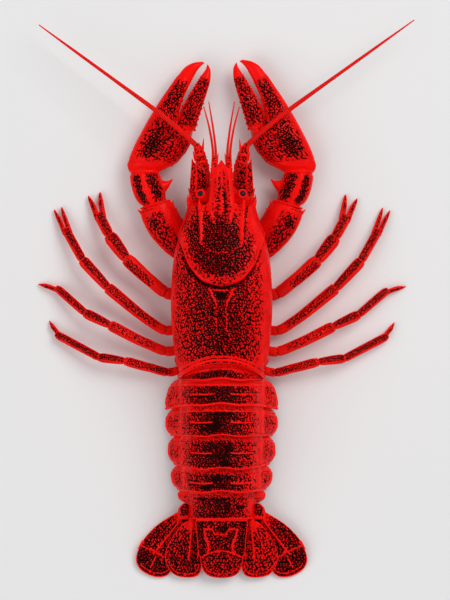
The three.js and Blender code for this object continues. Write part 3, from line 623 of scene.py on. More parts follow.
for number, ring in enumerate(ring_sizes, 1):
    length, back, band = ring["front"] - ring["rear"], ring["back"], ring["band"]
    tuck = 1.6 / length  # the smooth front runs on under the ring before it
    lobed = number > 1

    @functools.lru_cache(maxsize=4)
    def cross_line(t):
        """The line around the ring from its left tip over the top to its right tip."""
        half = along(ring["halves"], t)
        top = ring["tops"][0] + (ring["tops"][1] - ring["tops"][0]) * t
        # The lower edge of a lobe is rounded from front to rear.
        rounding = (1 - math.sin(math.pi * clamp(0.12 + 0.76 * t))) ** 1.5
        tip = ring["tip"] + (2 if 1 < number < 6 else 1.5) * rounding
        right = [
            (0, 1), (0.42 * back, 0.955), (0.78 * back, 0.79), (0.97 * back, 0.54),
            (0.4 * half + 0.62 * back, 0.3), (half, 0.05),
        ]
        right = [(x, tip + z * (top - tip)) for x, z in right]
        return [(-x, z) for x, z in right[:0:-1]] + right

    def ring_point(v, u):
        t = v * (1 + tuck) - tuck
        line = cross_line(round(max(0.0, t), 6))
        x, z = path(line, u)
        x0, z0 = path(line, u - 0.004)
        x1, z1 = path(line, u + 0.004)
        run = math.hypot(x1 - x0, z1 - z0) or 1
        outward = ((z0 - z1) / run, (x1 - x0) / run)
        aside = abs(x)
        from_rear, from_front = (1 - t) * length, t * length
        lobe = past(aside - back, 0.4, 0.8) if lobed else 0.0
        # Smooth front, step, creases and rim.
        facet = until(from_front, 1.6, 0.5)
        front = until(from_front, band, 0.4) if band else 0.45 * until(from_front, 2.8, 1.5)
        front *= ring["smoothing"]
        if number == 3:
            front = max(front, 0.85 * hump(from_front - 2.3, 0.3))
        wide = 0.95 if number < 3 else 0.7
        rim = until(from_rear, wide, 0.35)
        lift = -0.45 * facet + 0.28 * rim - 0.3 * hump(from_rear - wide - 0.3, 0.3)
        lift -= 0.3 * hump(from_front - 2.0, 0.35)
        # The shade table is set off to the left of the middle: painted shade on the left of each ring, painted
        # light on the right.
        stain = along(ring_shade, abs(x + 1.5) * 15.4 / back)
        ragged = 0.55 * noise.noise(Vector((x * 0.7, t * length * 0.7, number)))
        for middle, share, half_wide, half_long, tone in ring["dark"]:
            off = math.hypot((x - middle) / half_wide, (t - share) * length / half_long) + ragged
            stain = max(stain, tone * until(off, 1.2, 0.3))
        behind = (t - ring["crease"]) * length
        crease = hump(behind, 0.24) * past(aside, 3, 1) * until(aside, 12.4, 1.5)
        below = hump(behind - 0.7, 0.35) * past(aside, 3, 1) * until(aside, 12.4, 1.5)
        lift += 0.22 * crease - 0.3 * below
        # The hollow behind each crease is stained darker: painted shade in it.
        stain = stain * (1 - 0.95 * crease) + 0.3 * below
        # The lobe swells between a ridge at its root and its own bright edge.
        root = hump(aside - back + 0.1, 0.8) if lobed else 0.0
        lift += 0.3 * root - 0.3 * hump(aside - back - 1.5, 0.6) * lobed
        edge = max(until(from_front, 0.9, 0.4), past(aside - along(ring["halves"], max(0, t)), -1.0, 0.5))
        if lobe > 0:
            middle = math.sin(math.pi * clamp(t))
            stain = max(stain, lobe * 0.34 * middle)
            lift += lobe * 0.3 * middle
        smoothed = max(front, rim, edge * lobe, root * 0.4, crease)
        # Dark lines in the grooves before the rim and behind the front step: painted shade in the grooves.
        rear_groove_shade = 0.6 * hump(from_rear - wide - 0.3, 0.25) * (1 - lobe)
        front_groove_shade = 0.4 * hump(from_front - 2.0, 0.3) * (not band)
        stain = max(stain * (1 - smoothed), rear_groove_shade, front_groove_shade)
        # The first ring starts under the shield's rim, and the others under the swept rim before them.
        sweep = (aside / 20) ** 3
        start = rear_edge(x) - 0.3
        if lobed:
            start = ring["front"] - 0.15 - ring_sizes[number - 2]["sweep"] * sweep
        end = ring["rear"] - ring["sweep"] * sweep
        wave = 0.5 * hump(aside - 7, 4) - 0.25 * hump(aside, 4)
        y = start + (end - start) * t - wave * smooth(t) * (number < 6)
        return x + outward[0] * lift, y, z + outward[1] * lift, stain, smoothed

    bm = plate(max(30, int(length / 0.25)), 264, ring_point)
    if sum(f.normal.z * f.calc_area() for f in bm.faces) < 0:
        bmesh.ops.reverse_faces(bm, faces=bm.faces)
    name = f"tail_ring_{number}"
    ring_shell = settle(name, grain(bm, 0.95, 0.13, number), shell, "shell", name)
    wall = ring_shell.modifiers.new("wall", "SOLIDIFY")
    wall.thickness = wall_thickness
    wall.offset = -1

# THE BELLY
# Under the rings the tail is soft: pale ribbed skin between the lobes, a firmer rib under each ring, and
# four pairs of swimming legs that lie back along it, each two thin hairy blades on a short root.

underside = shell_finish("pale_underside", (0.86, 0.2, 0.1), (0.8, 0.33, 0.2), (0.5, 0.04, 0.02), 0.2, 0.5)
rib_places = [(ring["rear"] + 1.5 + ring["front"]) / 2 for ring in ring_sizes[1:]]
belly_rows = [
    (0, -27, 8.8, 9.5, 2.4), (0, -34, 7.6, 13.4, 2.4), (0, -46, 7.3, 13.6, 2.3), (0, -58, 7.3, 13, 2.3),
    (0, -70, 7.4, 12, 2.5), (0, -77, 8, 9.8, 2.8), (0, -83.4, 9.8, 7.6, 2.8), (0, -87, 9.4, 6, 2.2),
    (0, -90, 8.6, 4, 1.2), (0, -91.6, 8, 2.2, 0.5),
]
meat_rows = [
    (0, -20, 14, 12, 6), (0, -31, 13.4, 13, 6.6), (0, -50, 13, 12.8, 6.3), (0, -64, 12.2, 11.4, 5.4),
    (0, -73, 11, 8.2, 4.2), (0, -82, 10.4, 6.4, 2.8),
]


def belly_detail(t, across, up):
    y = path([row[:3] for row in belly_rows], t)[1]
    rib = max(hump(y - place, 1.2) for place in rib_places) * until(abs(across), 0.96, 0.1)
    ripple = math.sin(y * 3.1)
    vent = hump(y + 86.4, 1.4) * hump(across, 0.2) * (up < 0)
    lift = 0.8 * rib + 0.12 * ripple * (1 - rib) - 1.2 * vent
    return lift, 0.42 * rib + 0.4 * vent + 0.05 * (1 + ripple) + 0.2 * until(y, -84, 2), 0.5 * rib


belly = limb(belly_rows, 220, 60, belly_detail, 3, 0.02)
for side in (-1, 1):
    flank = [
        (side * 12, -21, 7.6, 2, 2.4), (side * 12.8, -28, 7.2, 2.2, 2.7), (side * 12.8, -35, 7.4, 1.8, 2),
    ]
    add(belly, limb(flank, 20, 20, lambda t, across, up: (0, 0.5, 0.3)))
add(belly, limb(meat_rows, 60, 36))  # the meat that fills the rings
settle("belly_skin", belly, underside, "underside")


def hairs(bm, roots, length, thick, spread, seed):
    """Fine three-sided hairs on roots, each (place, way)."""
    pick = random.Random(seed)
    for place, way in roots:
        turn = Vector([pick.uniform(-spread, spread) for k in range(3)])
        way = (Vector(way).normalized() + turn).normalized()
        tall = length * pick.uniform(0.65, 1.0)
        turned = way.to_track_quat("Z", "Y").to_matrix().to_4x4()
        base = Matrix.Translation(Vector(place) + way * tall / 2) @ turned
        ends = dict(radius1=thick, radius2=thick * 0.15, depth=tall)
        bmesh.ops.create_cone(bm, cap_ends=True, segments=3, matrix=base, **ends)
    return bm


def hair_finish():
    """Horn of the bristles, from red to brown."""
    material, tree, surface = blank("bristle")
    place = node(tree, "TexCoord").outputs["Object"]
    tint = node(tree, "TexNoise", Vector=place, Scale=500.0, Detail=2.0).outputs[0]
    colour = blended(tree, tint, (0.62, 0.04, 0.015, 1), (0.3, 0.02, 0.01, 1))
    tree.links.new(colour, surface["Base Color"])
    rough = node(tree, "MapRange", s0=tint, s3=0.45, s4=0.7).outputs[0]
    tree.links.new(rough, surface["Roughness"])
    return material


def ripples(t, across, up):
    return 0.06 * math.sin(t * 60), 0.1, 0.3


bristle = hair_finish()
swimmer_red = shell_finish(
    "swimmer_red", (0.86, 0.06, 0.03), (0.8, 0.12, 0.06), (0.3, 0.01, 0.006), coat=0.15, relief=0.4
)
for side in (1, -1):
    swimmers, fringe = bmesh.new(), bmesh.new()
    for number, ring in enumerate(ring_sizes[1:5]):
        y = (ring["front"] + ring["rear"]) / 2 + 1
        root = [(6.2, y + 1.4, 5.6, 1.7, 1.2), (7.6, y - 1, 4.3, 1.4, 1.1), (8.4, y - 3, 3.6, 1, 0.7)]
        add(swimmers, limb(root, 14, 12))
        for out, back in ((2.8, 10), (-0.4, 11)):
            tip = (8.4 + out, y - back, 2.3)
            middle = (8.6 + out * 0.7, y - 3 - back * 0.35, 2.9)
            leaf = [(8.3, y - 3, 3.5, 0.6, 0.4), (*middle, 1.25, 0.35), (*tip, 0.3, 0.2)]
            add(swimmers, limb(leaf, 22, 12, ripples))
            edge = []
            for way in (-1, 1):
                for k in range(-4, 8):
                    place = (middle[0] + way * 1.1, middle[1] - k * 0.5, 2.8 - 0.05 * k)
                    edge.append((place, (way, -1.4, -0.1)))
            hairs(fringe, edge, 1.8, 0.05, 0.15, number + 7)
    settle_side(side, swimmer_red, "underside", replacing=False, swimming_legs=swimmers)
    settle_side(side, bristle, "leg_shell", replacing=False, swimming_leg_hairs=fringe)

# THE TAIL PLATE
# The middle blade of the fan: a front part with two ridges and a thorn at each shoulder, and a rounded
# rear flap on a soft seam, ribbed and edged with bristles.

fan_root, fan_end = -83.9, -106.4


def fan_level(root, end, fall, arch=0):
    """The height of a blade, which slopes down to its end and may be arched at its root."""

    def level(x, y):
        share = (y - fan_end) / (fan_root - fan_end)
        return end + (root - end) * share - fall * abs(x) - arch * share * x * x

    return level


def closed_outline(corners, steps=400):
    """A smooth closed outline through corners, sharp at the first. share 0 to 1 gives a point of it."""
    points = [Vector((*c, 0)) for c in corners] + [Vector((*corners[0], 0))]
    lengths = [0.0]
    samples = [Vector(path(points, k / steps)) for k in range(steps + 1)]
    for a, b in zip(samples, samples[1:]):
        lengths.append(lengths[-1] + (b - a).length)
    even, k = [], 0
    for step in range(steps + 1):
        goal = lengths[-1] * step / steps
        while k < steps - 1 and lengths[k + 1] < goal:
            k += 1
        f = (goal - lengths[k]) / max(1e-9, lengths[k + 1] - lengths[k])
        even.append(samples[k].lerp(samples[k + 1], min(1, f)))

    def at(share):
        p = (share % 1) * steps
        i = min(steps - 1, int(p))
        return even[i].lerp(even[i + 1], p - i)

    return at


def blade(outline, centre, thickness, level, detail, around, steps, seed):
    """A thin blade of shell. detail(x, y, reach) gives its relief, stain and bareness on top."""

    def point(v, u):
        edge = outline(u)
        fold = 1 - abs(2 * v - 1)  # 0 at the two middles and 1 on the edge
        reach = swelling(fold) ** 0.85
        x = centre[0] + (edge.x - centre[0]) * reach
        y = centre[1] + (edge.y - centre[1]) * reach
        upper = v < 0.5
        lift, stain, bare = detail(x, y, reach)
        thick = thickness / 2 * math.cos(fold * math.pi / 2) ** 0.35
        z = level(x, y) + (thick + lift * min(1, 6 * (1 - reach)) if upper else -thick)
        return x, y, z, stain if upper else stain * 0.35, bare

    bm = plate(steps, around, point)
    upper = [f for f in bm.faces if f.calc_center_median().z > level(*f.calc_center_median()[:2])]
    if sum(f.normal.z * f.calc_area() for f in upper) < 0:
        bmesh.ops.reverse_faces(bm, faces=bm.faces)
    down, aside = bm.verts.layers.float["down"], bm.verts.layers.float["aside"]
    for vert in bm.verts:
        vert[down], vert[aside] = vert.co.y, vert.co.x
    return grain(bm, 1.0, 0.1, seed)


def blade_rim(y, reach, start=0.95):
    """The bright rim of a blade, with the line that bounds its soft fringed border behind."""
    return max(past(reach, start, 0.025), 0.85 * hump(reach - 0.865, 0.017) * until(y, -99.5, 1.5))


def off_line(x, y, corners):
    """How far (x, y) lies from the bent line through corners."""
    nearest = 99.0
    for (a, b), (c, d) in zip(corners, corners[1:]):
        share = clamp(((x - a) * (c - a) + (y - b) * (d - b)) / ((c - a) ** 2 + (d - b) ** 2))
        nearest = min(nearest, math.hypot(x - a - share * (c - a), y - b - share * (d - b)))
    return nearest


# The front part has a ridge down each side, and a low step crosses it like the rim of a crown.
ridge_corners = [(6.15, -87.1), (6.05, -88.6), (5.6, -90.6), (4.9, -92.4), (4.6, -94), (4.9, -96.2)]
crown_corners = [(0, -89.1), (1.9, -89.1), (2.6, -88), (3.4, -87.15), (4.6, -86.8), (6.2, -87.15)]


def tail_detail(x, y, reach):
    aside = abs(x)
    from_middle = abs(x + 0.4)
    behind = -94.9 - 2.8 * (aside / 8.3) ** 2 - y  # how far past the seam before the flap
    seam = hump(behind, 0.32) * until(aside, 9, 0.6)
    lip = hump(behind - 0.55, 0.25) * until(aside, 9, 0.6)
    flap = past(behind, 0.2, 0.5)
    ridge = hump(off_line(from_middle, y, ridge_corners), 0.38) * past(y, -97, 1.5)
    brow = hump(off_line(from_middle, y, crown_corners), 0.27)
    hinge = past(y, -84, 0.4)
    ribs = 0.07 * math.sin(math.atan2(x, -88 - y) * 46) * flap * past(reach, 0.5, 0.3)
    # Beside the ridges the front part sinks into gutters that are stained darker: painted shade in the hollows.
    shaded_gutter = until(0.1 * (y + 95), aside - 5.9, 0.6)
    front = 0.74 * (1 - shaded_gutter) + 0.9 * shaded_gutter
    front = max(front, 0.96 * until(math.hypot((x - 0.7) / 2.2, (y + 87) / 1.4), 1.3, 0.4))
    stain = (front * (1 - flap) + flap * 0.66) * (1 - ridge) * (1 - hinge) * (1 - brow) * (1 - lip)
    rim = blade_rim(y, reach, 0.955)
    lift = 0.45 * ridge - 0.4 * seam + 0.2 * brow + ribs + 0.3 * flap * (1 - reach**2)
    lift -= 0.25 * shaded_gutter * (1 - flap)
    return lift, stain * (1 - rim), max(rim, 0.9 * ridge, hinge, 0.9 * lip, 0.9 * brow)


tail_corners = [
    (6, -82.8), (9.6, -83.2), (9.8, -86.6), (9.4, -91), (9, -96.2), (8.2, -97.7), (8, -100.2), (7.1, -103),
    (5.4, -104.9), (2.8, -105.8),
]
tail_outline = closed_outline(
    [(0, -82.7)] + tail_corners + [(0, -106)] + [(-x, y) for x, y in reversed(tail_corners)]
)
tail_middle = (0, -94.5)
tail_level = fan_level(14.4, 3.4, 0.03, 0.018)
tail_plate = blade(tail_outline, tail_middle, 1.9, tail_level, tail_detail, 260, 124, 11)
for side in (-1, 1):
    thorns(
        tail_plate,
        ((side * 8.6, -95.9, tail_level(8.6, -96)), (side * 9.3, -98.6, tail_level(9, -98.6)), 0.5),
        ((side * 7.9, -95.7, tail_level(8, -96)), (side * 8.3, -97.9, tail_level(8, -98) + 0.3), 0.4),
    )
settle("tail_plate", tail_plate, shell, "shell", "tail_plate")


def edge_hairs(outline, level, middle, start, run, count, length, seed):
    """Hairs that stand out from a run of an outline and lean a little back."""
    roots = []
    for k in range(count + 1):
        share = start + run * k / count
        edge = outline(share)
        out = (outline(share + 0.004) - outline(share - 0.004)).cross(Vector((0, 0, 1)))
        if out.dot(edge - Vector((*middle, 0))) < 0:
            out.negate()
        out.normalize()
        place = Vector((edge.x, edge.y, level(edge.x, edge.y))) - out * 0.3
        roots.append((place, out + Vector((0, -0.25, 0))))
    return hairs(bmesh.new(), roots, length, 0.055, 0.07, seed)


tail_bristles = edge_hairs(tail_outline, tail_level, tail_middle, 0.31, 0.38, 110, 0.6, 3)
settle("tail_plate_bristles", tail_bristles, bristle, "shell")

# THE FAN BLADES
# Two blades a side hang on one hinge piece beside the last ring. Each is stiffened by a rib along its
# middle and finer ribs to its edge. The outer one has a toothed fold across, and lies lowest.


def from_hinge(x, y, hinge):
    """The way from a blade's hinge in degrees, 0 straight back, and how far away it is."""
    return math.degrees(math.atan2(x - hinge[0], hinge[1] - y)), math.hypot(x - hinge[0], y - hinge[1])


def on_ray(out, away, ray, width):
    """1 on a ray from the hinge and 0 a few widths beside it. A degree is a 57th of the way out, sideways."""
    return hump((out - ray) * away / 57, width)


def inner_detail(x, y, reach, tone):
    out, away = from_hinge(x, y, (11, -84))
    rib = on_ray(out, away, 6, 0.34) * until(away, 16.5, 3)
    side_rib = 0.4 * on_ray(out, away, 27, 0.24) * until(away, 13, 3)
    fine = 0.07 * math.sin(out * 1.25) * past(away, 12, 4)
    rim = blade_rim(y, reach)
    stain = (tone - 0.12 * past(out, 26, 8)) * past(away, 2.5, 3) * (1 - rib) * (1 - side_rib)
    stain += 0.2 * on_ray(out, away, 3, 0.25) * until(away, 14, 3)
    return 0.5 * rib + 0.3 * side_rib + fine, stain * (1 - rim), max(rim, rib * 0.9, side_rib)


fold_line = [(16, -101.6), (21.3, -99.1), (25.2, -96.9), (28.5, -95.3), (31, -94.4), (33, -94.1)]


def outer_detail(x, y, reach):
    out, away = from_hinge(x, y, (13.4, -80.8))
    fold = along(fold_line, x)
    seam = hump(y - fold, 0.35)
    lip = hump(y - fold - 0.75, 0.27)
    flap = past(fold - y, 0.4, 0.5)
    rib = on_ray(out, away, 38, 0.34) * (1 - flap)
    # The groove beside the midrib is stained dark: painted shade in it.
    groove = on_ray(out, away, 34, 0.3) * (1 - flap) * past(away, 5, 2)
    second = 0.5 * on_ray(out, away, 50, 0.26) * until(away, 11, 2)
    suture = 0.8 * hump(x - 25 + 0.5 * (y + 97.5), 0.26) * flap * past(y, -102.4, 0.8)
    fine = 0.08 * math.sin(out * 1.3) * flap
    rim = blade_rim(y, reach)
    stain = (0.74 + 0.1 * flap) * past(away, 3, 4) * (1 - rib) * (1 - second) * (1 - lip) * (1 - suture)
    lift = 0.5 * rib + 0.25 * second + fine - 0.4 * seam + 0.3 * lip - 0.3 * groove
    return lift, max(stain, 0.85 * groove) * (1 - rim), max(rim, rib * 0.9, second, lip, suture)


def hinge_detail(t, across, up):
    aside = abs(across)
    stain = 0.75 * until(aside, 0.75, 0.15) * (t < 0.78)
    return 0.25 * hump(t - 0.85, 0.1), stain, 0.8 * past(aside, 0.7, 0.1)


inner_corners = [
    (11.3, fan_root - 0.1), (9.3, -87.5), (8.35, -94.2), (7.75, -101), (8.8, -104.8), (12.6, -105.9),
    (17.9, -104.9), (21.2, -100.7), (21.3, -95.6), (18.5, -89.9), (14.5, -84.8),
]
outer_corners = [
    (16, -80.2), (23.4, -84.7), (28, -88.9), (31.1, -93.3), (32.8, -98.8), (31, -103), (25.4, -105.7),
    (20.3, -104.6), (17.5, -98), (15.1, -90), (14.1, -83.6),
]
inner_outline, outer_outline = closed_outline(inner_corners), closed_outline(outer_corners)
inner_middle, outer_middle = (15, -95.5), (23.5, -94.5)
inner_level, outer_level = fan_level(8.2, 2.9, 0.05), fan_level(5.6, 1.9, 0.04)
blade_thickness = 1.15
for side in (1, -1):
    # The left inner blade is stained darker than the right: painted shade on the left, painted light on the
    # right.
    side_shaded_detail = functools.partial(inner_detail, tone=0.68 - 0.08 * side)
    inner = blade(inner_outline, inner_middle, blade_thickness, inner_level, side_shaded_detail, 200, 76, 21 + side)
    outer = blade(outer_outline, outer_middle, blade_thickness, outer_level, outer_detail, 220, 84, 31 + side)
    for k in range(7):
        x = 19.6 + k * 1.55
        y = along(fold_line, x)
        z = outer_level(x, y)
        thorns(outer, ((x, y + 0.6, z + 0.45), (x + 0.1, y - 0.6, z + 0.6), 0.26))
    thorns(outer, ((29.8, -91.8, 3.2), (32.2, -95.1, 2.8), 0.75))
    hinge_rows = [(13.2, -77.8, 7.3, 1.5, 0.9), (14.3, -80.4, 7.6, 2.4, 1.4), (14.1, -83.2, 7.5, 2, 1.1)]
    hinge = grain(limb(hinge_rows, 44, 44, hinge_detail), 0.9, 0.1)
    thorns(hinge, ((15.4, -82.6, 7), (17.2, -84.8, 6.4), 0.5))
    # Soft skin under the hinge, stained dark on top only: painted shade that fills the gap between the blades
    # and the last ring.
    lobe = [(10.4, -81.4, 6.3, 1.6, 0.6), (12.4, -83.2, 6.5, 2.6, 0.8), (13.3, -86.2, 6.3, 1.7, 0.6)]
    add(hinge, limb(lobe, 30, 24, lambda t, across, up: (0, 0.8 * smooth(3 * up), 0)))
    knuckle = [(11.3, -82.3, 7.4, 1, 0.8), (11.2, -84, 8, 1.5, 1.2), (11.2, -86.2, 7.8, 1, 0.9)]
    add(inner, limb(knuckle, 24, 24, fullness=2))
    fringe = edge_hairs(inner_outline, inner_level, inner_middle, 0.24, 0.5, 90, 0.6, 5)
    add(fringe, edge_hairs(outer_outline, outer_level, outer_middle, 0.33, 0.36, 90, 0.6, 6))
    settle_side(side, shell, "shell", fan_inner=inner, fan_outer=outer, fan_hinge=hinge)
    settle_side(side, bristle, "shell", replacing=False, fan_bristles=fringe)

# THE BREAST PLATE
# The floor of the chest, flat where the animal rests on it, with a seam between each pair of legs and a
# groove along the middle.


breast_half = [(-27.5, 4.6), (-22, 7.2), (-14, 8.1), (-4, 8.35), (7, 8.2), (13.4, 5.2)]
breast_middle, breast_drop = 3.3, 4.1  # the drop is more than the height, which makes the flat
above_table = 0.03
leg_seams = (-24.5, -17, -9, 0.6, 9.6)


def breast_point(v, u):
    t, open_share = between_ends(v, 0.05)
    y = -27.5 + 40.9 * t
    x, z = oval(2 * math.pi * u, along(breast_half, y), breast_middle, breast_drop, 4)
    reach = swelling(open_share)
    seam = max(hump(y - place, 0.45) for place in leg_seams)
    swell = 1 - 0.12 * seam
    groove = 0.5 * hump(x, 0.5) if z < 0 else 0
    height = max(above_table, breast_middle + z * reach * swell) + groove * reach
    return x * reach * swell, y, height, 0.35 * seam, 0.5 * (1 - seam)


settle("breast_plate", plate(110, 90, breast_point), underside, "underside", "breast_plate")

# THE MOUTH LEGS
# The last pair of mouth legs closes over the mouth: flat jointed limbs, side by side, with a comb of
# bristles along their inner edges and a slim bent palp outside.

leg_shell = shell_finish(
    "boiled_leg_shell", (0.92, 0.008, 0.004), (0.7, 0.005, 0.004), (0.03, 0.0015, 0.0015), coat=0.1
)


def jointed(joints, tone):
    """Detail of a limb with soft grooves at shares joints, grained on top and smooth along its edges."""

    def detail(t, across, up):
        groove = max(hump(t - j, 0.012) for j in joints)
        collar = max(hump(t - j + 0.035, 0.02) for j in joints)
        edge = past(abs(across), 0.72, 0.2)
        stain = tone * until(abs(across), 0.95, 0.5) * (up > -0.3) * (1 - collar) + 0.3 * groove
        return 0.14 * collar - 0.35 * groove, stain, max(0.8 * edge, 0.9 * collar)

    return detail


mouth_rows = [
    (3.8, 15.6, 3.6, 1.7, 1.8), (3.7, 24, 3.9, 2, 2), (3.3, 32.4, 5.2, 1.65, 1.7), (2.7, 38.6, 7.4, 1.3, 1.2),
    (2.2, 42.8, 8.6, 0.35, 0.35),
]
palp_rows = [
    (6.2, 16.5, 4.6, 0.9, 0.8), (6.4, 24, 5, 0.85, 0.7), (5.8, 31, 6.2, 0.6, 0.5),
    (6.6, 35.5, 7.4, 0.35, 0.3), (5.2, 38.4, 8.4, 0.12, 0.12),
]
mouth_spine = [row[:3] for row in mouth_rows]
mouth_half = [(k / 4, row[3]) for k, row in enumerate(mouth_rows)]
for side in (1, -1):
    mouth_leg = limb(mouth_rows, 110, 30, jointed((0.12, 0.52, 0.7, 0.86), 0.35), 2.6)
    grain(mouth_leg, 0.9, 0.06, side)
    add(mouth_leg, limb(palp_rows, 60, 14, jointed((0.5, 0.72), 0.2)))
    comb = []
    for k in range(60):
        t = 0.08 + 0.86 * k / 60
        x, y, z = path(mouth_spine, t)
        for drop in (-0.5, 0.3):
            comb.append(((x - along(mouth_half, t) * 0.85, y, z + drop), (-0.9, 0.7, 0.5 * drop)))
    comb_hairs = hairs(bmesh.new(), comb, 1.7, 0.05, 0.25, 41)
    settle_side(side, leg_shell, "leg_shell", mouth_leg=mouth_leg)
    settle_side(side, bristle, "leg_shell", replacing=False, mouth_leg_comb=comb_hairs)

# THE FACE
# Below the beak a pale three-cornered plate with the jaws behind the mouth legs fills the front of the
# head, and the roots of the feelers come out of it.


face_rows = [
    (0, 30, 13, 9.6, 4.6), (0, 36, 13.4, 9.8, 5.2), (0, 40, 14, 8.4, 4.8), (0, 43.4, 14.6, 5.6, 2.8),
    (0, 45.6, 15, 2.2, 1),
]
face = limb(face_rows, 60, 60, lambda t, across, up: (0.08 * math.sin(t * 26), 0.25 * (up > 0), 0.3), 2.4)
for side in (-1, 1):
    jaw = [(side * 4.8, 29, 8.6, 2.4, 2), (side * 3.6, 34, 9, 2.4, 2.2), (side * 1.6, 38.4, 9.8, 1.5, 1.4)]
    add(face, limb(jaw, 30, 24, jointed((0.6,), 0.2)))
settle("face_plate", grain(face, 1.2, 0.08), leg_shell, "leg_shell")

# THE EYES
# Each eye is a glossy black ball on a short red stalk, set in the hollow beside the beak.

eye_black, tree, surface = blank("eye_black")
place = node(tree, "TexCoord").outputs["Object"]
facets = node(tree, "TexVoronoi", Vector=place, Scale=5200.0).outputs[0]
haze = node(tree, "TexNoise", Vector=place, Scale=420.0, Detail=3.0).outputs[0]
dark = blended(tree, haze, (0.004, 0.003, 0.004, 1), (0.03, 0.012, 0.012, 1))
tree.links.new(dark, surface["Base Color"])
tree.links.new(node(tree, "MapRange", s0=haze, s3=0.08, s4=0.24).outputs[0], surface["Roughness"])
facet_bump = node(tree, "Bump", Strength=0.12, Distance=0.00005, Height=facets)
tree.links.new(facet_bump.outputs[0], surface["Normal"])
surface["Specular IOR Level"].default_value = 0.12
surface["Coat Weight"].default_value = 0.06
surface["Coat Roughness"].default_value = 0.05

eye_radius = 1.55
eye_tilt = Matrix.Rotation(math.radians(-14), 4, "X") @ Matrix.Rotation(math.radians(16), 4, "Y")
eye_place = Matrix.Translation((7.8, 40.6, 21.3)) @ eye_tilt
stalk_rows = [
    (5, 38.2, 19.9, 1.3, 1.3), (6, 39.2, 20.2, 1.7, 1.5), (6.9, 40, 20.5, 1.9, 1.6),
    (7.6, 40.5, 20.9, 1.9, 1.3), (7.8, 40.6, 21, 1.5, 1),
]


def cup_point(v, u):
    """The ring of shell around the ball."""
    around, turn = 2 * math.pi * v, 2 * math.pi * u
    wide = 1.46 + 0.48 * math.cos(turn)
    stain = 0.15 * hump(math.cos(turn) + 0.4, 0.3)
    return wide * math.cos(around), wide * math.sin(around), 0.7 + 0.5 * math.sin(turn), stain, 0.5


def stalk_detail(t, across, up):
    return 0.1 * hump(t - 0.8, 0.06), 0.2 * (1 - t), 0.6


for side in (1, -1):
    ball = bmesh.new()
    bmesh.ops.create_uvsphere(ball, u_segments=48, v_segments=32, radius=eye_radius)
    cup = plate(60, 20, cup_point)
    for part in (ball, cup):
        bmesh.ops.transform(part, matrix=eye_place, verts=part.verts)
    stalk = add(limb(stalk_rows, 40, 44, stalk_detail, cap=0.02), cup)
    settle_side(side, eye_black, "eye", eye=ball)
    settle_side(side, shell, "shell", replacing=False, eye_stalk=stalk)

# THE FEELER SCALES AND ROOTS
# A flat scale with a thick outer edge that ends in a thorn covers the root of each long feeler. The root
# has three stout joints with thorns, and the scale's inner edge carries bristles.


def scale_detail(x, y, reach):
    rib = past(x, 9.4, 0.4)
    line = hump(x - 9.6, 0.3)
    strokes = 0.5 + 0.5 * math.sin((y + x * 1.3) * 3.2)
    front = smooth((y - 52.4 + 0.9 * (9.4 - x)) / 0.8)
    rim = past(reach, 0.92, 0.04)
    stain = (0.78 * (1 - rib) * (0.75 + 0.25 * strokes) + 0.45 * rib) * (1 - line) * (1 - front)
    lift = 0.4 * rib + 0.12 * line - 0.2 * hump(x - 10.4, 0.4) + 0.08 * strokes * (1 - rib)
    return lift, stain * (1 - rim), max(0.9 * line, rim, front)


scale_outline = closed_outline([
    (12.2, 41), (12, 46), (11.6, 51), (11.3, 54.4), (10.3, 52.6), (7.7, 50.8), (5.8, 48.3), (5.6, 44.4),
    (6.7, 41.9), (9.2, 40.6),
])
scale_middle = (8.8, 46)
root_rows = [
    (7.2, 41.4, 12.6, 2.7, 2.6), (6.9, 47, 12.9, 2.65, 2.4), (7.4, 52, 13.6, 2.4, 2),
    (8.2, 55.4, 14.2, 2.2, 1.8), (9.2, 58.6, 14.8, 1.5, 1.4), (9.7, 59.9, 14.95, 1.15, 1.1),
]
base_rows = [
    (9.2, 36.6, 13.4, 2.2, 2), (9.9, 39.4, 13.6, 2.6, 2.3), (9.8, 42.4, 13.5, 2.5, 2.1),
    (9, 45.4, 13.2, 1.8, 1.6),
]
for side in (1, -1):
    scale = blade(
        scale_outline, scale_middle, 1, lambda x, y: 16.6 + 0.05 * (x - 8.8), scale_detail, 110, 44, 51 + side
    )
    scale_hairs = edge_hairs(scale_outline, lambda x, y: 16.7, scale_middle, 0.44, 0.3, 46, 1.5, 9)
    root = limb(root_rows, 110, 44, jointed((0.3, 0.5, 0.68, 0.86), 0.4))
    add(root, limb(base_rows, 44, 44, jointed((0.4, 0.78), 0.4)))
    grain(root, 0.95, 0.1, side)
    thorns(
        root,
        ((7.5, 55.6, 14.8), (6.8, 62.1, 15.4), 0.75), ((9.7, 53.4, 14.2), (11, 57.3, 14.4), 0.75),
        ((5.4, 49.4, 13.6), (4.8, 52.4, 13.8), 0.75), ((9.3, 47, 13.4), (10.6, 50, 13.4), 0.75),
        ((11.4, 39.6, 14.6), (12.8, 43.2, 15), 0.75),
    )
    settle_side(side, shell, "shell", feeler_scale=scale)
    settle_side(side, bristle, "shell", replacing=False, feeler_scale_hairs=scale_hairs)
    settle_side(side, leg_shell, "leg_shell", feeler_root=root)

# THE FEELERS
# Each long feeler is a whip of some hundred short rings that thins to a hair. Between them stand two
# pairs of short feelers, two hairs on each three-jointed root.

feeler_red = shell_finish(
    "feeler_red", (0.92, 0.01, 0.005), (0.8, 0.006, 0.004), (0.1, 0.003, 0.002), coat=0.1, relief=0.2
)


def ringed(count, depth):
    """Detail of a whip with count rings."""

    def detail(t, across, up):
        place = (t * count) % 1
        seam = max(0.0, 1 - 5 * min(place, 1 - place))
        return -depth * seam * (1.1 - t), seam * (1 - 0.5 * t), 0.0

    return detail


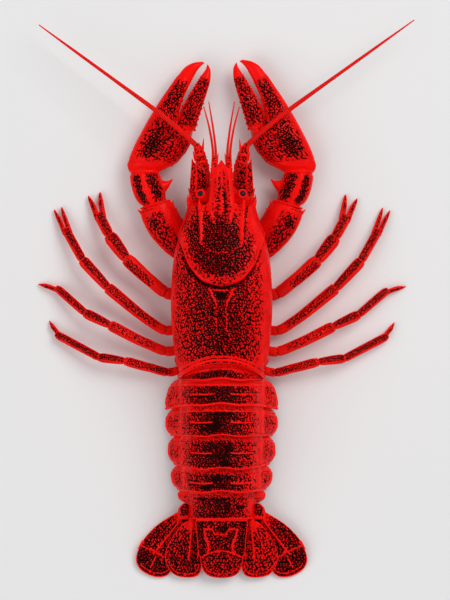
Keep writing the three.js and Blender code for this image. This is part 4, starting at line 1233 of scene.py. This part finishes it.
# How far the whip bows out and how thick it is at each share of its length.
whip_bow = [(0, 0), (0.12, 0.85), (0.27, 1.15), (0.6, 0.65), (1, 0)]
whip_radius = [(0, 1.1), (0.3, 0.92), (0.5, 0.72), (0.75, 0.57), (0.95, 0.4), (1, 0.22)]
short_rows = [
    (3, 41, 17.6, 1.4, 1.5), (2.8, 46, 18, 1.5, 1.4), (2.7, 51, 18.4, 1.4, 1.2), (2.7, 54.6, 18.7, 0.8, 0.8),
]
for side, length, heading in ((1, 79.6, math.radians(36.9)), (-1, 75.4, math.radians(37.5))):
    whip_rows = []
    for share in (0, 0.12, 0.27, 0.5, 0.75, 1):
        bow, radius = along(whip_bow, share), along(whip_radius, share)
        whip_rows.append((
            9.9 + length * share * math.cos(heading) - bow * math.sin(heading),
            59.5 + length * share * math.sin(heading) + bow * math.cos(heading),
            14.9 + 0.6 * math.sin(math.pi * min(1, share * 2)) - 5.5 * max(0, share - 0.3),
            radius, radius,
        ))
    feeler = limb(whip_rows, 620, 16, ringed(88, 0.2), 2, 0.004)
    short = limb(short_rows, 70, 26, jointed((0.35, 0.66, 0.86), 0.4))
    grain(short, 0.9, 0.06, side)
    for outward, tip_x, tip_y in ((2.2, 4.9, 75.8), (3.3, 6.8, 73.9)):
        hair = [
            (outward, 52.6, 18.6, 0.6, 0.6), (outward + 0.1, 58, 19.3, 0.5, 0.5),
            (outward * 0.6 + tip_x * 0.4, 66, 20.3, 0.4, 0.4), (tip_x, tip_y, 21, 0.2, 0.2),
        ]
        add(short, limb(hair, 250, 10, ringed(42, 0.1), 2, 0.01))
    thorns(short, ((1.9, 52.4, 18.6), (1.2, 56.5, 19), 0.55), ((3.9, 46.4, 17.6), (4.6, 49.4, 17.8), 0.45))
    settle_side(side, feeler_red, "feeler", feeler=feeler, short_feelers=short)

# THE CLAWS
# Arm, wrist, hand and moving finger of hard grained shell, with pale skin in the joints. Knobs line the
# inner edge of the palm, thorns the arm and wrist, and blunt teeth the fingers, whose ends are smooth.


arm_across = [(-1, 0), (-0.4, 0.1), (-0.1, 0.36), (0.4, 0.52), (0.8, 0.42), (0.95, 0.1), (1, 0)]
arm_along = [(0, 0.3), (0.15, 0.7), (0.4, 1), (0.64, 1), (0.74, 0.15), (0.8, 0)]


def arm_detail(t, across, up):
    patch = hump(across - 0.48, 0.3) * hump(t - 0.58, 0.1)
    stain = along(arm_across, across)
    stain *= along(arm_along, t)
    stain = max(stain, 0.96 * patch) if up > -0.2 else 0.25
    collar = past(t, 0.9, 0.04)
    edge = past(abs(across), 0.9, 0.06)
    fold = hump(t - 0.18, 0.02) + hump(t - 0.88, 0.014) + hump(t - 0.79, 0.012) * smooth(2 * across)
    lift = 0.3 * collar - 0.4 * fold + 0.2 * edge
    return lift, max(stain * (1 - edge), 0.4 * fold), max(collar * 0.85, edge * 0.9)


def wrist_detail(t, across, up):
    strip = hump(across + 0.42, 0.36) + hump(across - 0.55, 0.25)
    stain = 0.84 * min(1, 1.2 * strip) * past(t, 0.04, 0.2) * until(t, 0.88, 0.1) * (1 if up > 0 else 0.4)
    furrow = hump(across - 0.02, 0.07) * past(t, 0, 0.2) * until(t, 0.85, 0.2) * (up > 0)
    collar = past(t, 0.88, 0.05)
    edge = past(abs(across), 0.92, 0.05)
    fold = hump(t - 0.86, 0.02)
    ridge = hump(across - 0.17, 0.13) * (up > 0) * (1 - collar)
    lift = 0.3 * collar - 0.35 * fold + 0.2 * ridge - 0.3 * furrow
    return lift, stain * (1 - ridge) * (1 - edge), max(collar * 0.85, 0.8 * ridge, 0.8 * edge)


# Rows of distance along the hand, x of its outer and inner edge, and half thickness, from wrist to tip.
hand_rows = [
    (-2.6, 4.2, -5.2, 2.6), (-0.9, 5.5, -7.2, 3.7), (0.5, 6.2, -8.6, 4.7), (3.6, 6.8, -10.2, 5.3),
    (8, 7.1, -10.9, 5.8), (12.1, 7, -11.5, 6), (15.6, 6.9, -11.6, 5.9), (18.6, 6.7, -10.4, 5.3),
    (20.4, 6.5, -7, 4.6), (22.2, 6.4, -3.2, 4), (26, 6, -1.9, 3.5), (31, 5.3, -1.1, 3), (36, 4.6, -1, 2.5),
    (40.6, 3.6, -1.1, 1.9), (43.6, 1.6, -1.6, 1.3), (45.6, -1.2, -2.4, 0.3),
]
hand_outer, hand_inner, hand_thick = ([(row[0], row[k]) for row in hand_rows] for k in (1, 2, 3))
# The stain across the palm, across the fixed finger, and from wrist to tip.
palm_across = [
    (-1, 0.25), (-0.75, 0.5), (-0.3, 0.52), (0.2, 0.58), (0.5, 0.56), (0.72, 0.4), (0.88, 0.15), (1, 0),
]
finger_across = [(-1, 0.1), (-0.75, 0.4), (-0.35, 0.72), (0.25, 0.74), (0.6, 0.45), (0.8, 0.12), (1, 0)]
hand_along = [
    (-1, 0), (1.8, 0.2), (4, 0.8), (8, 1), (17, 0.95), (22, 0.85), (30, 0.9), (34, 0.75), (37.2, 0), (46, 0),
]
lane_across = [(-1, 0.3), (-0.7, 0.5), (-0.2, 0.64), (0.3, 0.6), (0.7, 0.42), (1, 0.1)]


@functools.lru_cache(maxsize=8)
def hand_section(distance):
    return along(hand_outer, distance), along(hand_inner, distance), along(hand_thick, distance)


def hand_skew(distance):
    """How much the outer side of the hand lags at its root, where the wrist cuts it aslant."""
    return 0.45 * clamp(1 - distance / 12)


def paler_below(up):
    return 1 - 0.65 * smooth(-0.2 - 3 * up)


def hand_point(v, u):
    share, open_share = between_ends(v, 0.03)
    distance = -2.6 + 48.2 * share
    outer, inner, thick = hand_section(round(distance, 5))
    across, up = oval(2 * math.pi * u, 1, 1, 1, 2.25)
    finger = past(distance, 21, 3)
    stain = along(palm_across, across)
    stain += 0.36 * hump(distance - 8.5, 5) * hump(across - 0.34, 0.34)
    if finger > 0:
        stain += (along(finger_across, across) - stain) * finger
    stain *= along(hand_along, distance)
    stain *= paler_below(up)
    edge = past(across, 0.88, 0.07)
    tip = past(distance, 35.5, 2)
    neck = until(distance, 1.4, 1)
    # Lanes are grooves along the fixed finger; on the hand they are also stained darker, painted shade in the
    # grooves.
    lanes = (hump(across + 0.55, 0.1) + hump(across - 0.5, 0.09)) * finger * (1 - tip)
    ridge = hump(across + 0.05, 0.16) * finger * (1 - tip) * (up > 0)
    swell = 0.35 * hump(distance - 13, 7) * hump(across + 0.45, 0.35) * (up > 0)
    lift = swell + 0.2 * ridge - 0.28 * lanes - 0.12 * hump(distance - 2, 0.6) + 0.2 * edge * (1 - tip)
    from_axis = max(1.2, math.hypot(across * (outer - inner) / 2, up * thick))
    reach = swelling(open_share) * (1 + lift / from_axis)
    x = (outer + inner) / 2 + across * (outer - inner) / 2 * reach
    y = distance - hand_skew(distance) * x
    bare = max(0.9 * tip, 0.85 * edge, 0.8 * neck)
    return x, y, up * thick * reach, stain * (1 - edge) + 0.3 * lanes * (1 - tip), bare


def finger_detail(t, across, up):
    tip = past(t, 0.68, 0.06)
    stain = along(lane_across, across) * past(t, 0.06, 0.1) * (1 - tip) * paler_below(up)
    lanes = (hump(across + 0.5, 0.1) + hump(across - 0.5, 0.1)) * past(t, 0, 0.12) * (1 - tip)
    ridge = hump(across, 0.16) * (up > 0) * (1 - tip)
    edge = past(across, 0.86, 0.08)
    bare = max(0.9 * tip, 0.8 * edge, 0.7 * until(t, 0.07, 0.03))
    return 0.18 * ridge - 0.25 * lanes, stain * (1 - edge), bare


def knob(bm, place, radius, flat=0.75):
    """A blunt rounded knob or tooth, half sunk in the shell."""
    ball = bmesh.new()
    ball.verts.layers.float.new("stain")
    bare = ball.verts.layers.float.new("bare")
    matrix = Matrix.Translation(place) @ Matrix.Diagonal((1, 1, flat, 1))
    bmesh.ops.create_icosphere(ball, subdivisions=2, radius=radius, matrix=matrix)
    for vert in ball.verts:
        vert[bare] = 0.9
    return add(bm, ball)


def soft_folds(t, across, up):
    fold = math.sin(t * 40)
    return 0.15 * fold, 0.3 + 0.3 * fold, 0.2


skin = shell_finish("joint_skin", (0.72, 0.05, 0.025), (0.55, 0.03, 0.02), (0.3, 0.01, 0.006), 0.15, 0.6)
# Rows of x, y, z, half width and half height. The finger's rows are in the hand's own frame.
arm_rows = [
    (10, 15.8, 4.4, 3.2, 2.9), (13.6, 19, 4.5, 4.8, 3.2), (17.5, 23.5, 5, 6.1, 3.9),
    (21.7, 29.2, 5.8, 6.75, 4.8), (24.1, 33.6, 6.2, 6.6, 5), (25.1, 36.2, 6.25, 5.9, 4.7),
    (25.4, 37.2, 6.25, 5.4, 4.4),
]
wrist_rows = [
    (25.5, 36.2, 6.2, 3.9, 3.4), (26, 38.2, 6.2, 4.9, 4.3), (26.8, 40.2, 6.2, 5.8, 5),
    (27.9, 42.8, 6.3, 6.1, 5.2), (29, 46, 6.3, 5.9, 5.2), (29.5, 48.6, 6.3, 5.6, 4.8),
    (29.5, 50, 6.3, 5.2, 4.4),
]
wrist_thorn = [
    (25.4, 43.2, 6.5, 4.4, 3.4), (23.2, 43.7, 6.7, 3.2, 2.5), (21.3, 44.5, 6.9, 1.7, 1.5),
    (19.9, 45.4, 7.1, 0.75, 0.7), (18.6, 46.7, 7.2, 0.08, 0.08),
]
finger_rows = [
    (-7.6, 19.6, 0, 2.9, 3.9), (-7, 21.6, 0, 3.6, 4), (-6.2, 26, 0, 3.6, 3.65), (-5.8, 31, 0, 3.2, 3.05),
    (-5.6, 36, 0, 2.65, 2.45), (-5.3, 40.6, 0, 1.95, 1.75), (-4.8, 43.6, 0, 1.05, 1.05),
    (-3.7, 45.5, 0, 0.2, 0.2),
]
finger_skin = [(-8.6, 16.9, 0, 2.4, 3.4), (-6.9, 20.6, 0, 3.2, 3.6), (-6.4, 22.4, 0, 2.6, 2.8)]
elbow_skin = [(24.6, 34.6, 6.2, 4.4, 3.6), (25.6, 37.4, 6.2, 4.6, 3.9), (26.4, 39.6, 6.2, 4.4, 3.8)]
wrist_skin = [(29.4, 48.4, 6.3, 4.4, 3.9), (29.8, 50.8, 6.3, 4.5, 3.6), (29.6, 53, 6.3, 4.4, 3.6)]
# Where the finger's teeth and the knobs outside it stand.
teeth_line = [(21.6, -3.6), (26, -2.75), (31, -2.75), (36, -3.1), (40.6, -3.5)]
knob_line = [(20, -10.7), (22, -10.5), (26, -9.7), (31, -8.9), (36, -8.1)]

for side, turn, size, seed in ((1, 26.2, 1.01, 61), (-1, 27, 1.0, 71)):
    arm = grain(limb(arm_rows, 120, 150, arm_detail, 2.2, 0.03), 1.0, 0.14, seed)
    thorns(
        arm,
        ((18.1, 33, 7.4), (16.9, 35.7, 7.8), 0.8), ((19.6, 35.2, 7), (18.4, 38.5, 7.4), 1),
        ((16.8, 30.4, 7.4), (15.5, 32.3, 7.6), 0.75), ((15.4, 27.6, 7), (13.9, 29, 7.2), 0.7),
        ((13.8, 24.8, 6.4), (12.5, 25.8, 6.6), 0.6), ((29.6, 32.9, 6.6), (32.2, 35, 6.6), 1),
        ((24.2, 35.4, 10), (24.6, 38, 10.6), 0.8), ((20.6, 27.6, 9.6), (20.9, 29.4, 10.4), 0.6),
    )
    wrist = grain(limb(wrist_rows, 72, 146, wrist_detail, 2.2, 0.03), 1.0, 0.14, seed + 1)
    thorns(
        wrist, ((25.4, 48.2, 8.6), (24.6, 50.4, 8.8), 0.8), ((30.6, 48.8, 10.2), (31.2, 50.8, 10.6), 0.7),
    )
    add(wrist, limb(wrist_thorn, 26, 22, fullness=2))
    hand = grain(plate(190, 196, hand_point), 1.0, 0.15, seed + 2)
    pick = random.Random(seed)
    # Three rows of knobs inside the palm, teeth along the fixed finger, and two knobs at the hinge.
    for k in range(9):
        distance = 1.8 + 1.9 * k
        inner = along(hand_inner, distance)
        for x, z in ((inner + 0.45, 0.6), (inner + 0.95, 2.5), (inner + 1.05, -1.8)):
            place = (x, distance + pick.uniform(-0.3, 0.3) - hand_skew(distance) * x, z)
            knob(hand, place, pick.uniform(0.45, 0.6), 0.9)
    for k in range(15):
        distance = 24.2 + 1.15 * k
        big = 0.75 if k == 4 else pick.uniform(0.34, 0.46)
        knob(hand, (along(hand_inner, distance) + 0.25, distance, 0.2), big)
    for z in (-3.6, 3.6):
        knob(hand, (-8.4, 18.6, z), 1.35, 0.8)
    finger = grain(limb(finger_rows, 120, 100, finger_detail, 2.2, 0.04), 0.95, 0.13, seed + 3)
    for k in range(14):
        distance = 24.6 + 1.2 * k
        big = 0.7 if k == 2 else pick.uniform(0.34, 0.46)
        knob(finger, (along(teeth_line, distance), distance, 0.1), big)
    for k in range(6):
        distance = 21 + 2.1 * k
        knob(finger, (along(knob_line, distance), distance, 0.5), 0.55)
    soft = limb(finger_skin, 24, 40)
    turned = Matrix.Rotation(math.radians(turn), 4, "Z")
    hand_place = Matrix.Translation((29.3, 51.5, 6.3)) @ turned @ Matrix.Scale(size, 4)
    for part in (hand, finger, soft):
        bmesh.ops.transform(part, matrix=hand_place, verts=part.verts)
    add(soft, limb(elbow_skin, 30, 40, soft_folds))
    add(soft, limb(wrist_skin, 30, 40, soft_folds))
    settle_side(side, shell, "shell", claw_arm=arm, claw_wrist=wrist, claw_hand=hand, claw_finger=finger)
    settle_side(side, skin, "underside", replacing=False, claw_joint_skin=soft)

# THE WALKING LEGS
# Four pairs of thin jointed legs. The first two pairs end in small pincers, the last two in a plain
# claw. Each joint has a smooth collar with pale skin inside, and bristles stand along the feet.

# Each leg: its joints from hip to ankle, the root of its toes (fork) and their tips, the half widths of its
# parts and toes, how far it is turned on the right and on the left, and tone, middle and start of the stain
# on its thigh.
legs = [
    dict(
        joints=[(9.2, 6, 3.6), (19.4, 2.6, 4.4), (27.4, 7.8, 6.4), (36.6, 16, 8), (43.1, 24.8, 6.2)],
        fork=(47.2, 32.6, 3.6), tips=[(46.9, 41.4, 1), (51.4, 39.9, 1)],
        widths=(2.3, 2.5, 2.45, 2.05, 1.05), turns=(-0.9, 0.5), thigh_stain=(0.56, 0.3, 0.4),
    ),
    dict(
        joints=[(9.2, -4.6, 3.6), (19.4, -11.2, 4.4), (28, -7.4, 6.4), (43.6, 5.2, 8), (53.2, 15.7, 6)],
        fork=(59.6, 27.2, 3.2), tips=[(61.4, 36, 0.9), (64.2, 35, 0.9)],
        widths=(1.9, 2.2, 2, 1.75, 0.9), turns=(-0.4, 0), thigh_stain=(0.56, -0.15, 0.36),
    ),
    dict(
        joints=[(9.2, -13, 3.6), (19, -19.3, 4.4), (29.2, -16.3, 6.2), (42.8, -9.7, 7.6), (52.4, -5.2, 5.8)],
        fork=(63, 3.9, 2.6), tips=[(70.5, 5.5, 0.8)],
        widths=(1.9, 2.05, 1.8, 1.6, 0.9), turns=(0, 0.9), thigh_stain=(0.44, -0.15, 0.34),
    ),
    dict(
        joints=[(9, -20.8, 3.6), (18.4, -27, 4.4), (27.6, -25.4, 6.2), (36.9, -22.9, 7.4), (47, -21.5, 5.8)],
        fork=(62.8, -13, 2.4), tips=[(66, -7.6, 0.7)],
        widths=(1.7, 1.8, 1.65, 1.6, 0.85), turns=(-0.7, 0), thigh_stain=(0.56, -0.15, 0.2),
    ),
]


def towards(start, end, distance):
    start = Vector(start)
    return start + (Vector(end) - start).normalized() * distance


def leg_detail(folds, tone, middle, clear=0.05):
    """Detail of a leg joint: a dark grained band on top, bare edges and a raised collar at its end."""

    def detail(t, across, up):
        collar = past(t, 0.92, 0.03) * until(t, 0.995, 0.02)
        fold = max(hump(t - share, 0.012) for share in (*folds, 0.9))
        edge = past(abs(across), 0.76, 0.14)
        band = tone * until(abs(across - middle), 0.85, 0.4) * (1 if up > -0.2 else 0.4)
        stain = band * until(clear, t, 0.12)
        furrow = hump(across - middle, 0.2) * (up > 0) * past(t, 0.1, 0.2) * until(t, 0.85, 0.2)
        lift = 0.12 * collar - 0.25 * fold - 0.15 * furrow
        return lift, max(stain * (1 - collar), 0.35 * fold), max(0.8 * edge, 0.9 * collar)

    return detail


def toe_detail(t, across, up):
    return 0, 0.75 * hump(across - 0.2, 0.45) * until(t, 0.8, 0.2), past(t, 0.7, 0.1)


def row(place, half, wide=1, tall=1):
    """A row of a limb, as wide and tall as shares of half."""
    return (*place, half * wide, half * tall)


for side in (1, -1):
    for number, leg in enumerate(legs, 1):
        hip, bend, middle, knee, ankle = leg["joints"]
        fork, tips = leg["fork"], leg["tips"]
        hip_half, knee_half, shin_half, foot_half, toe_half = leg["widths"]
        pincer = len(tips) > 1
        thigh_rows = [
            row(hip, hip_half, 0.95, 0.9), row(bend, hip_half, 1, 0.8), row(middle, hip_half, 1.05, 1),
            row(towards(knee, middle, 2.6), knee_half, 1.06, 1.05), row(Vector(knee), knee_half, 0.86, 0.86),
        ]
        thigh = limb(thigh_rows, 250, 68, leg_detail((0.1, 0.2, 0.31), *leg["thigh_stain"]), 2.2, 0.02)
        shin_rows = [
            row(towards(knee, ankle, -0.5), shin_half, 0.62, 0.62),
            row(towards(knee, ankle, 2), shin_half, 0.95, 0.95),
            row(towards(ankle, knee, 2.2), shin_half, 1.12, 1.08),
            row(towards(ankle, knee, -0.1), shin_half, 0.86, 0.86),
        ]
        shin = limb(shin_rows, 120, 64, leg_detail((), 0.66, -0.28), 2.2, 0.03)
        foot_rows = [
            row(towards(ankle, fork, -0.6), foot_half, 0.6, 0.6),
            row(towards(ankle, fork, 2), foot_half, 1, 0.95),
            row(towards(fork, ankle, 2), foot_half, 1.02, 0.8),
            (*towards(fork, ankle, -0.9), foot_half * 0.8 if pincer else toe_half, toe_half * 0.8),
        ]
        foot = limb(foot_rows, 150, 60, leg_detail((), 0.64, -0.15), 2.2, 0.03)
        y = hip[1]
        block = [
            (9, y + 0.6, 3.5, 3.4, 2.9), (12.4, y - 0.6, 4.7, 4.2, 3.4), (15.6, y - 2.4, 5.2, 3.2, 2.6),
            (17, y - 3.4, 5, 1.8, 1.6),
        ]
        add(thigh, limb(block, 40, 40, jointed((0.45,), 0.3)))
        # The toes, each with a brush of bristles.
        x, y, z = towards(fork, ankle, 1.6)
        whiskers = []
        for i, tip in enumerate(tips):
            apart = i - 0.5 if pincer else 0
            bow = (apart * 0.7, 0, 0) if pincer else (0.7, 0.5, 0)
            start = (x + apart * foot_half * 1.1, y - apart * foot_half * 0.33, z)
            half_way = [(v + tip[k]) / 2 + bow[k] for k, v in enumerate((x, y, z))]
            toe_rows = [
                row(start, toe_half, 1.05, 0.9), row(half_way, toe_half, 1.05, 0.8),
                row(towards(tip, half_way, 1.2), toe_half, 0.55, 0.5), (*tip, 0.2, 0.2),
            ]
            add(foot, limb(toe_rows, 46, 18, toe_detail, 2))
            for k in range(12):
                at = Vector(path([start, half_way, tip], 0.12 + 0.06 * k))
                for way in (-1, 1):
                    whiskers.append((at + Vector((way * 0.5, 0, 0.3)), Vector((way * 0.8, 0.9, 0.5))))
        along_foot = Vector(fork) - Vector(ankle)
        out = along_foot.cross(Vector((0, 0, 1))).normalized()
        for k in range(16):
            at = Vector(ankle) + along_foot * (0.3 + 0.045 * k)
            for way in (-1, 1):
                place = at + out * way * foot_half * 0.85 + Vector((0, 0, 0.3))
                whiskers.append((place, along_foot.normalized() * 0.8 + out * way * 0.7))
        bristles = hairs(bmesh.new(), whiskers, 1.0, 0.045, 0.2, number)
        soft = bmesh.new()
        for here, before, after, half in ((knee, middle, ankle, shin_half), (ankle, knee, fork, foot_half)):
            ends = [towards(here, before, 1.2), Vector(here), towards(here, after, 1.2)]
            add(soft, limb([row(end, half, 0.68, 0.68) for end in ends], 16, 16))
        for part, spacing, lift in ((thigh, 0.74, 0.09), (shin, 0.72, 0.09), (foot, 0.7, 0.08)):
            grain(part, spacing, lift, number)
        turn = Matrix.Rotation(math.radians(leg["turns"][0 if side > 0 else 1]), 4, "Z")
        swing = Matrix.Translation(hip) @ turn @ Matrix.Translation([-v for v in hip])
        for part in (thigh, shin, foot, bristles, soft):
            bmesh.ops.transform(part, matrix=swing, verts=part.verts)
        hard = {f"leg_{number}_thigh": thigh, f"leg_{number}_shin": shin, f"leg_{number}_foot": foot}
        settle_side(side, leg_shell, "leg_shell", **hard)
        settle_side(side, bristle, "leg_shell", replacing=False, **{f"leg_{number}_bristles": bristles})
        settle_side(side, skin, "underside", replacing=False, **{f"leg_{number}_joint_skin": soft})

# THE TABLE, THE LIGHT AND THE CAMERA
# A pale table, two wide soft lamps and a bright room. The camera looks straight down from far off, with
# the head at the top of the picture.

floor_mesh = bmesh.new()
bmesh.ops.create_grid(floor_mesh, x_segments=1, y_segments=1, size=6)
table_top = bpy.data.meshes.new("table_top")
floor_mesh.to_mesh(table_top)
floor_mesh.free()
floor = bpy.data.objects.new("table_top", table_top)
bpy.context.scene.collection.objects.link(floor)
pale, tree, surface = blank("pale_table")
surface["Base Color"].default_value = (0.78, 0.77, 0.75, 1)
surface["Roughness"].default_value = 0.9
# From below the table lets the view through, so that the underside can be seen.
from_below = node(tree, "NewGeometry").outputs["Backfacing"]
passed = node(tree, "LightPath").outputs["Transparent Depth"]
from_below = sums(tree, "MAXIMUM", from_below, passed)
clear = node(tree, "BsdfTransparent").outputs[0]
seen = node(tree, "MixShader", s0=from_below, s1=tree.nodes["Principled BSDF"].outputs[0], s2=clear)
tree.links.new(seen.outputs[0], tree.nodes["Material Output"].inputs["Surface"])
table_top.materials.append(pale)
floor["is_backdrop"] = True

# Each lamp: name, place, power and width.
lamps = (("window", (0.75, 0.75, 1.15), 12.0, 0.9), ("filler", (-0.9, -0.5, 1.0), 6.5, 1.2))
for name, place, power, wide in lamps:
    lamp = bpy.data.lights.new(name, "AREA")
    lamp.energy, lamp.size = power, wide
    held = bpy.data.objects.new(name, lamp)
    held.location = place
    held.rotation_euler = (-Vector(place)).to_track_quat("-Z", "Y").to_euler()
    held.visible_camera = False
    bpy.context.scene.collection.objects.link(held)
room = bpy.data.worlds.new("room")
room.use_nodes = True
room.node_tree.nodes["Background"].inputs["Color"].default_value = (0.93, 0.95, 1, 1)
room.node_tree.nodes["Background"].inputs["Strength"].default_value = 0.55
bpy.context.scene.world = room
bpy.context.scene.view_settings.view_transform = "Standard"

frame_length = 0.2289  # the real length that the picture's taller side takes in
lens = bpy.data.cameras.new("camera")
lens.lens = 400
lens.clip_end = 60
camera = bpy.data.objects.new("camera", lens)
camera.location = (0.0013, 0.0004, frame_length * lens.lens / lens.sensor_width + 0.012)
bpy.context.scene.collection.objects.link(camera)
bpy.context.scene.camera = camera

size = {name: [list(corner) for corner in box] for name, box in (("cad", cad_box), ("visual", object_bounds()))}
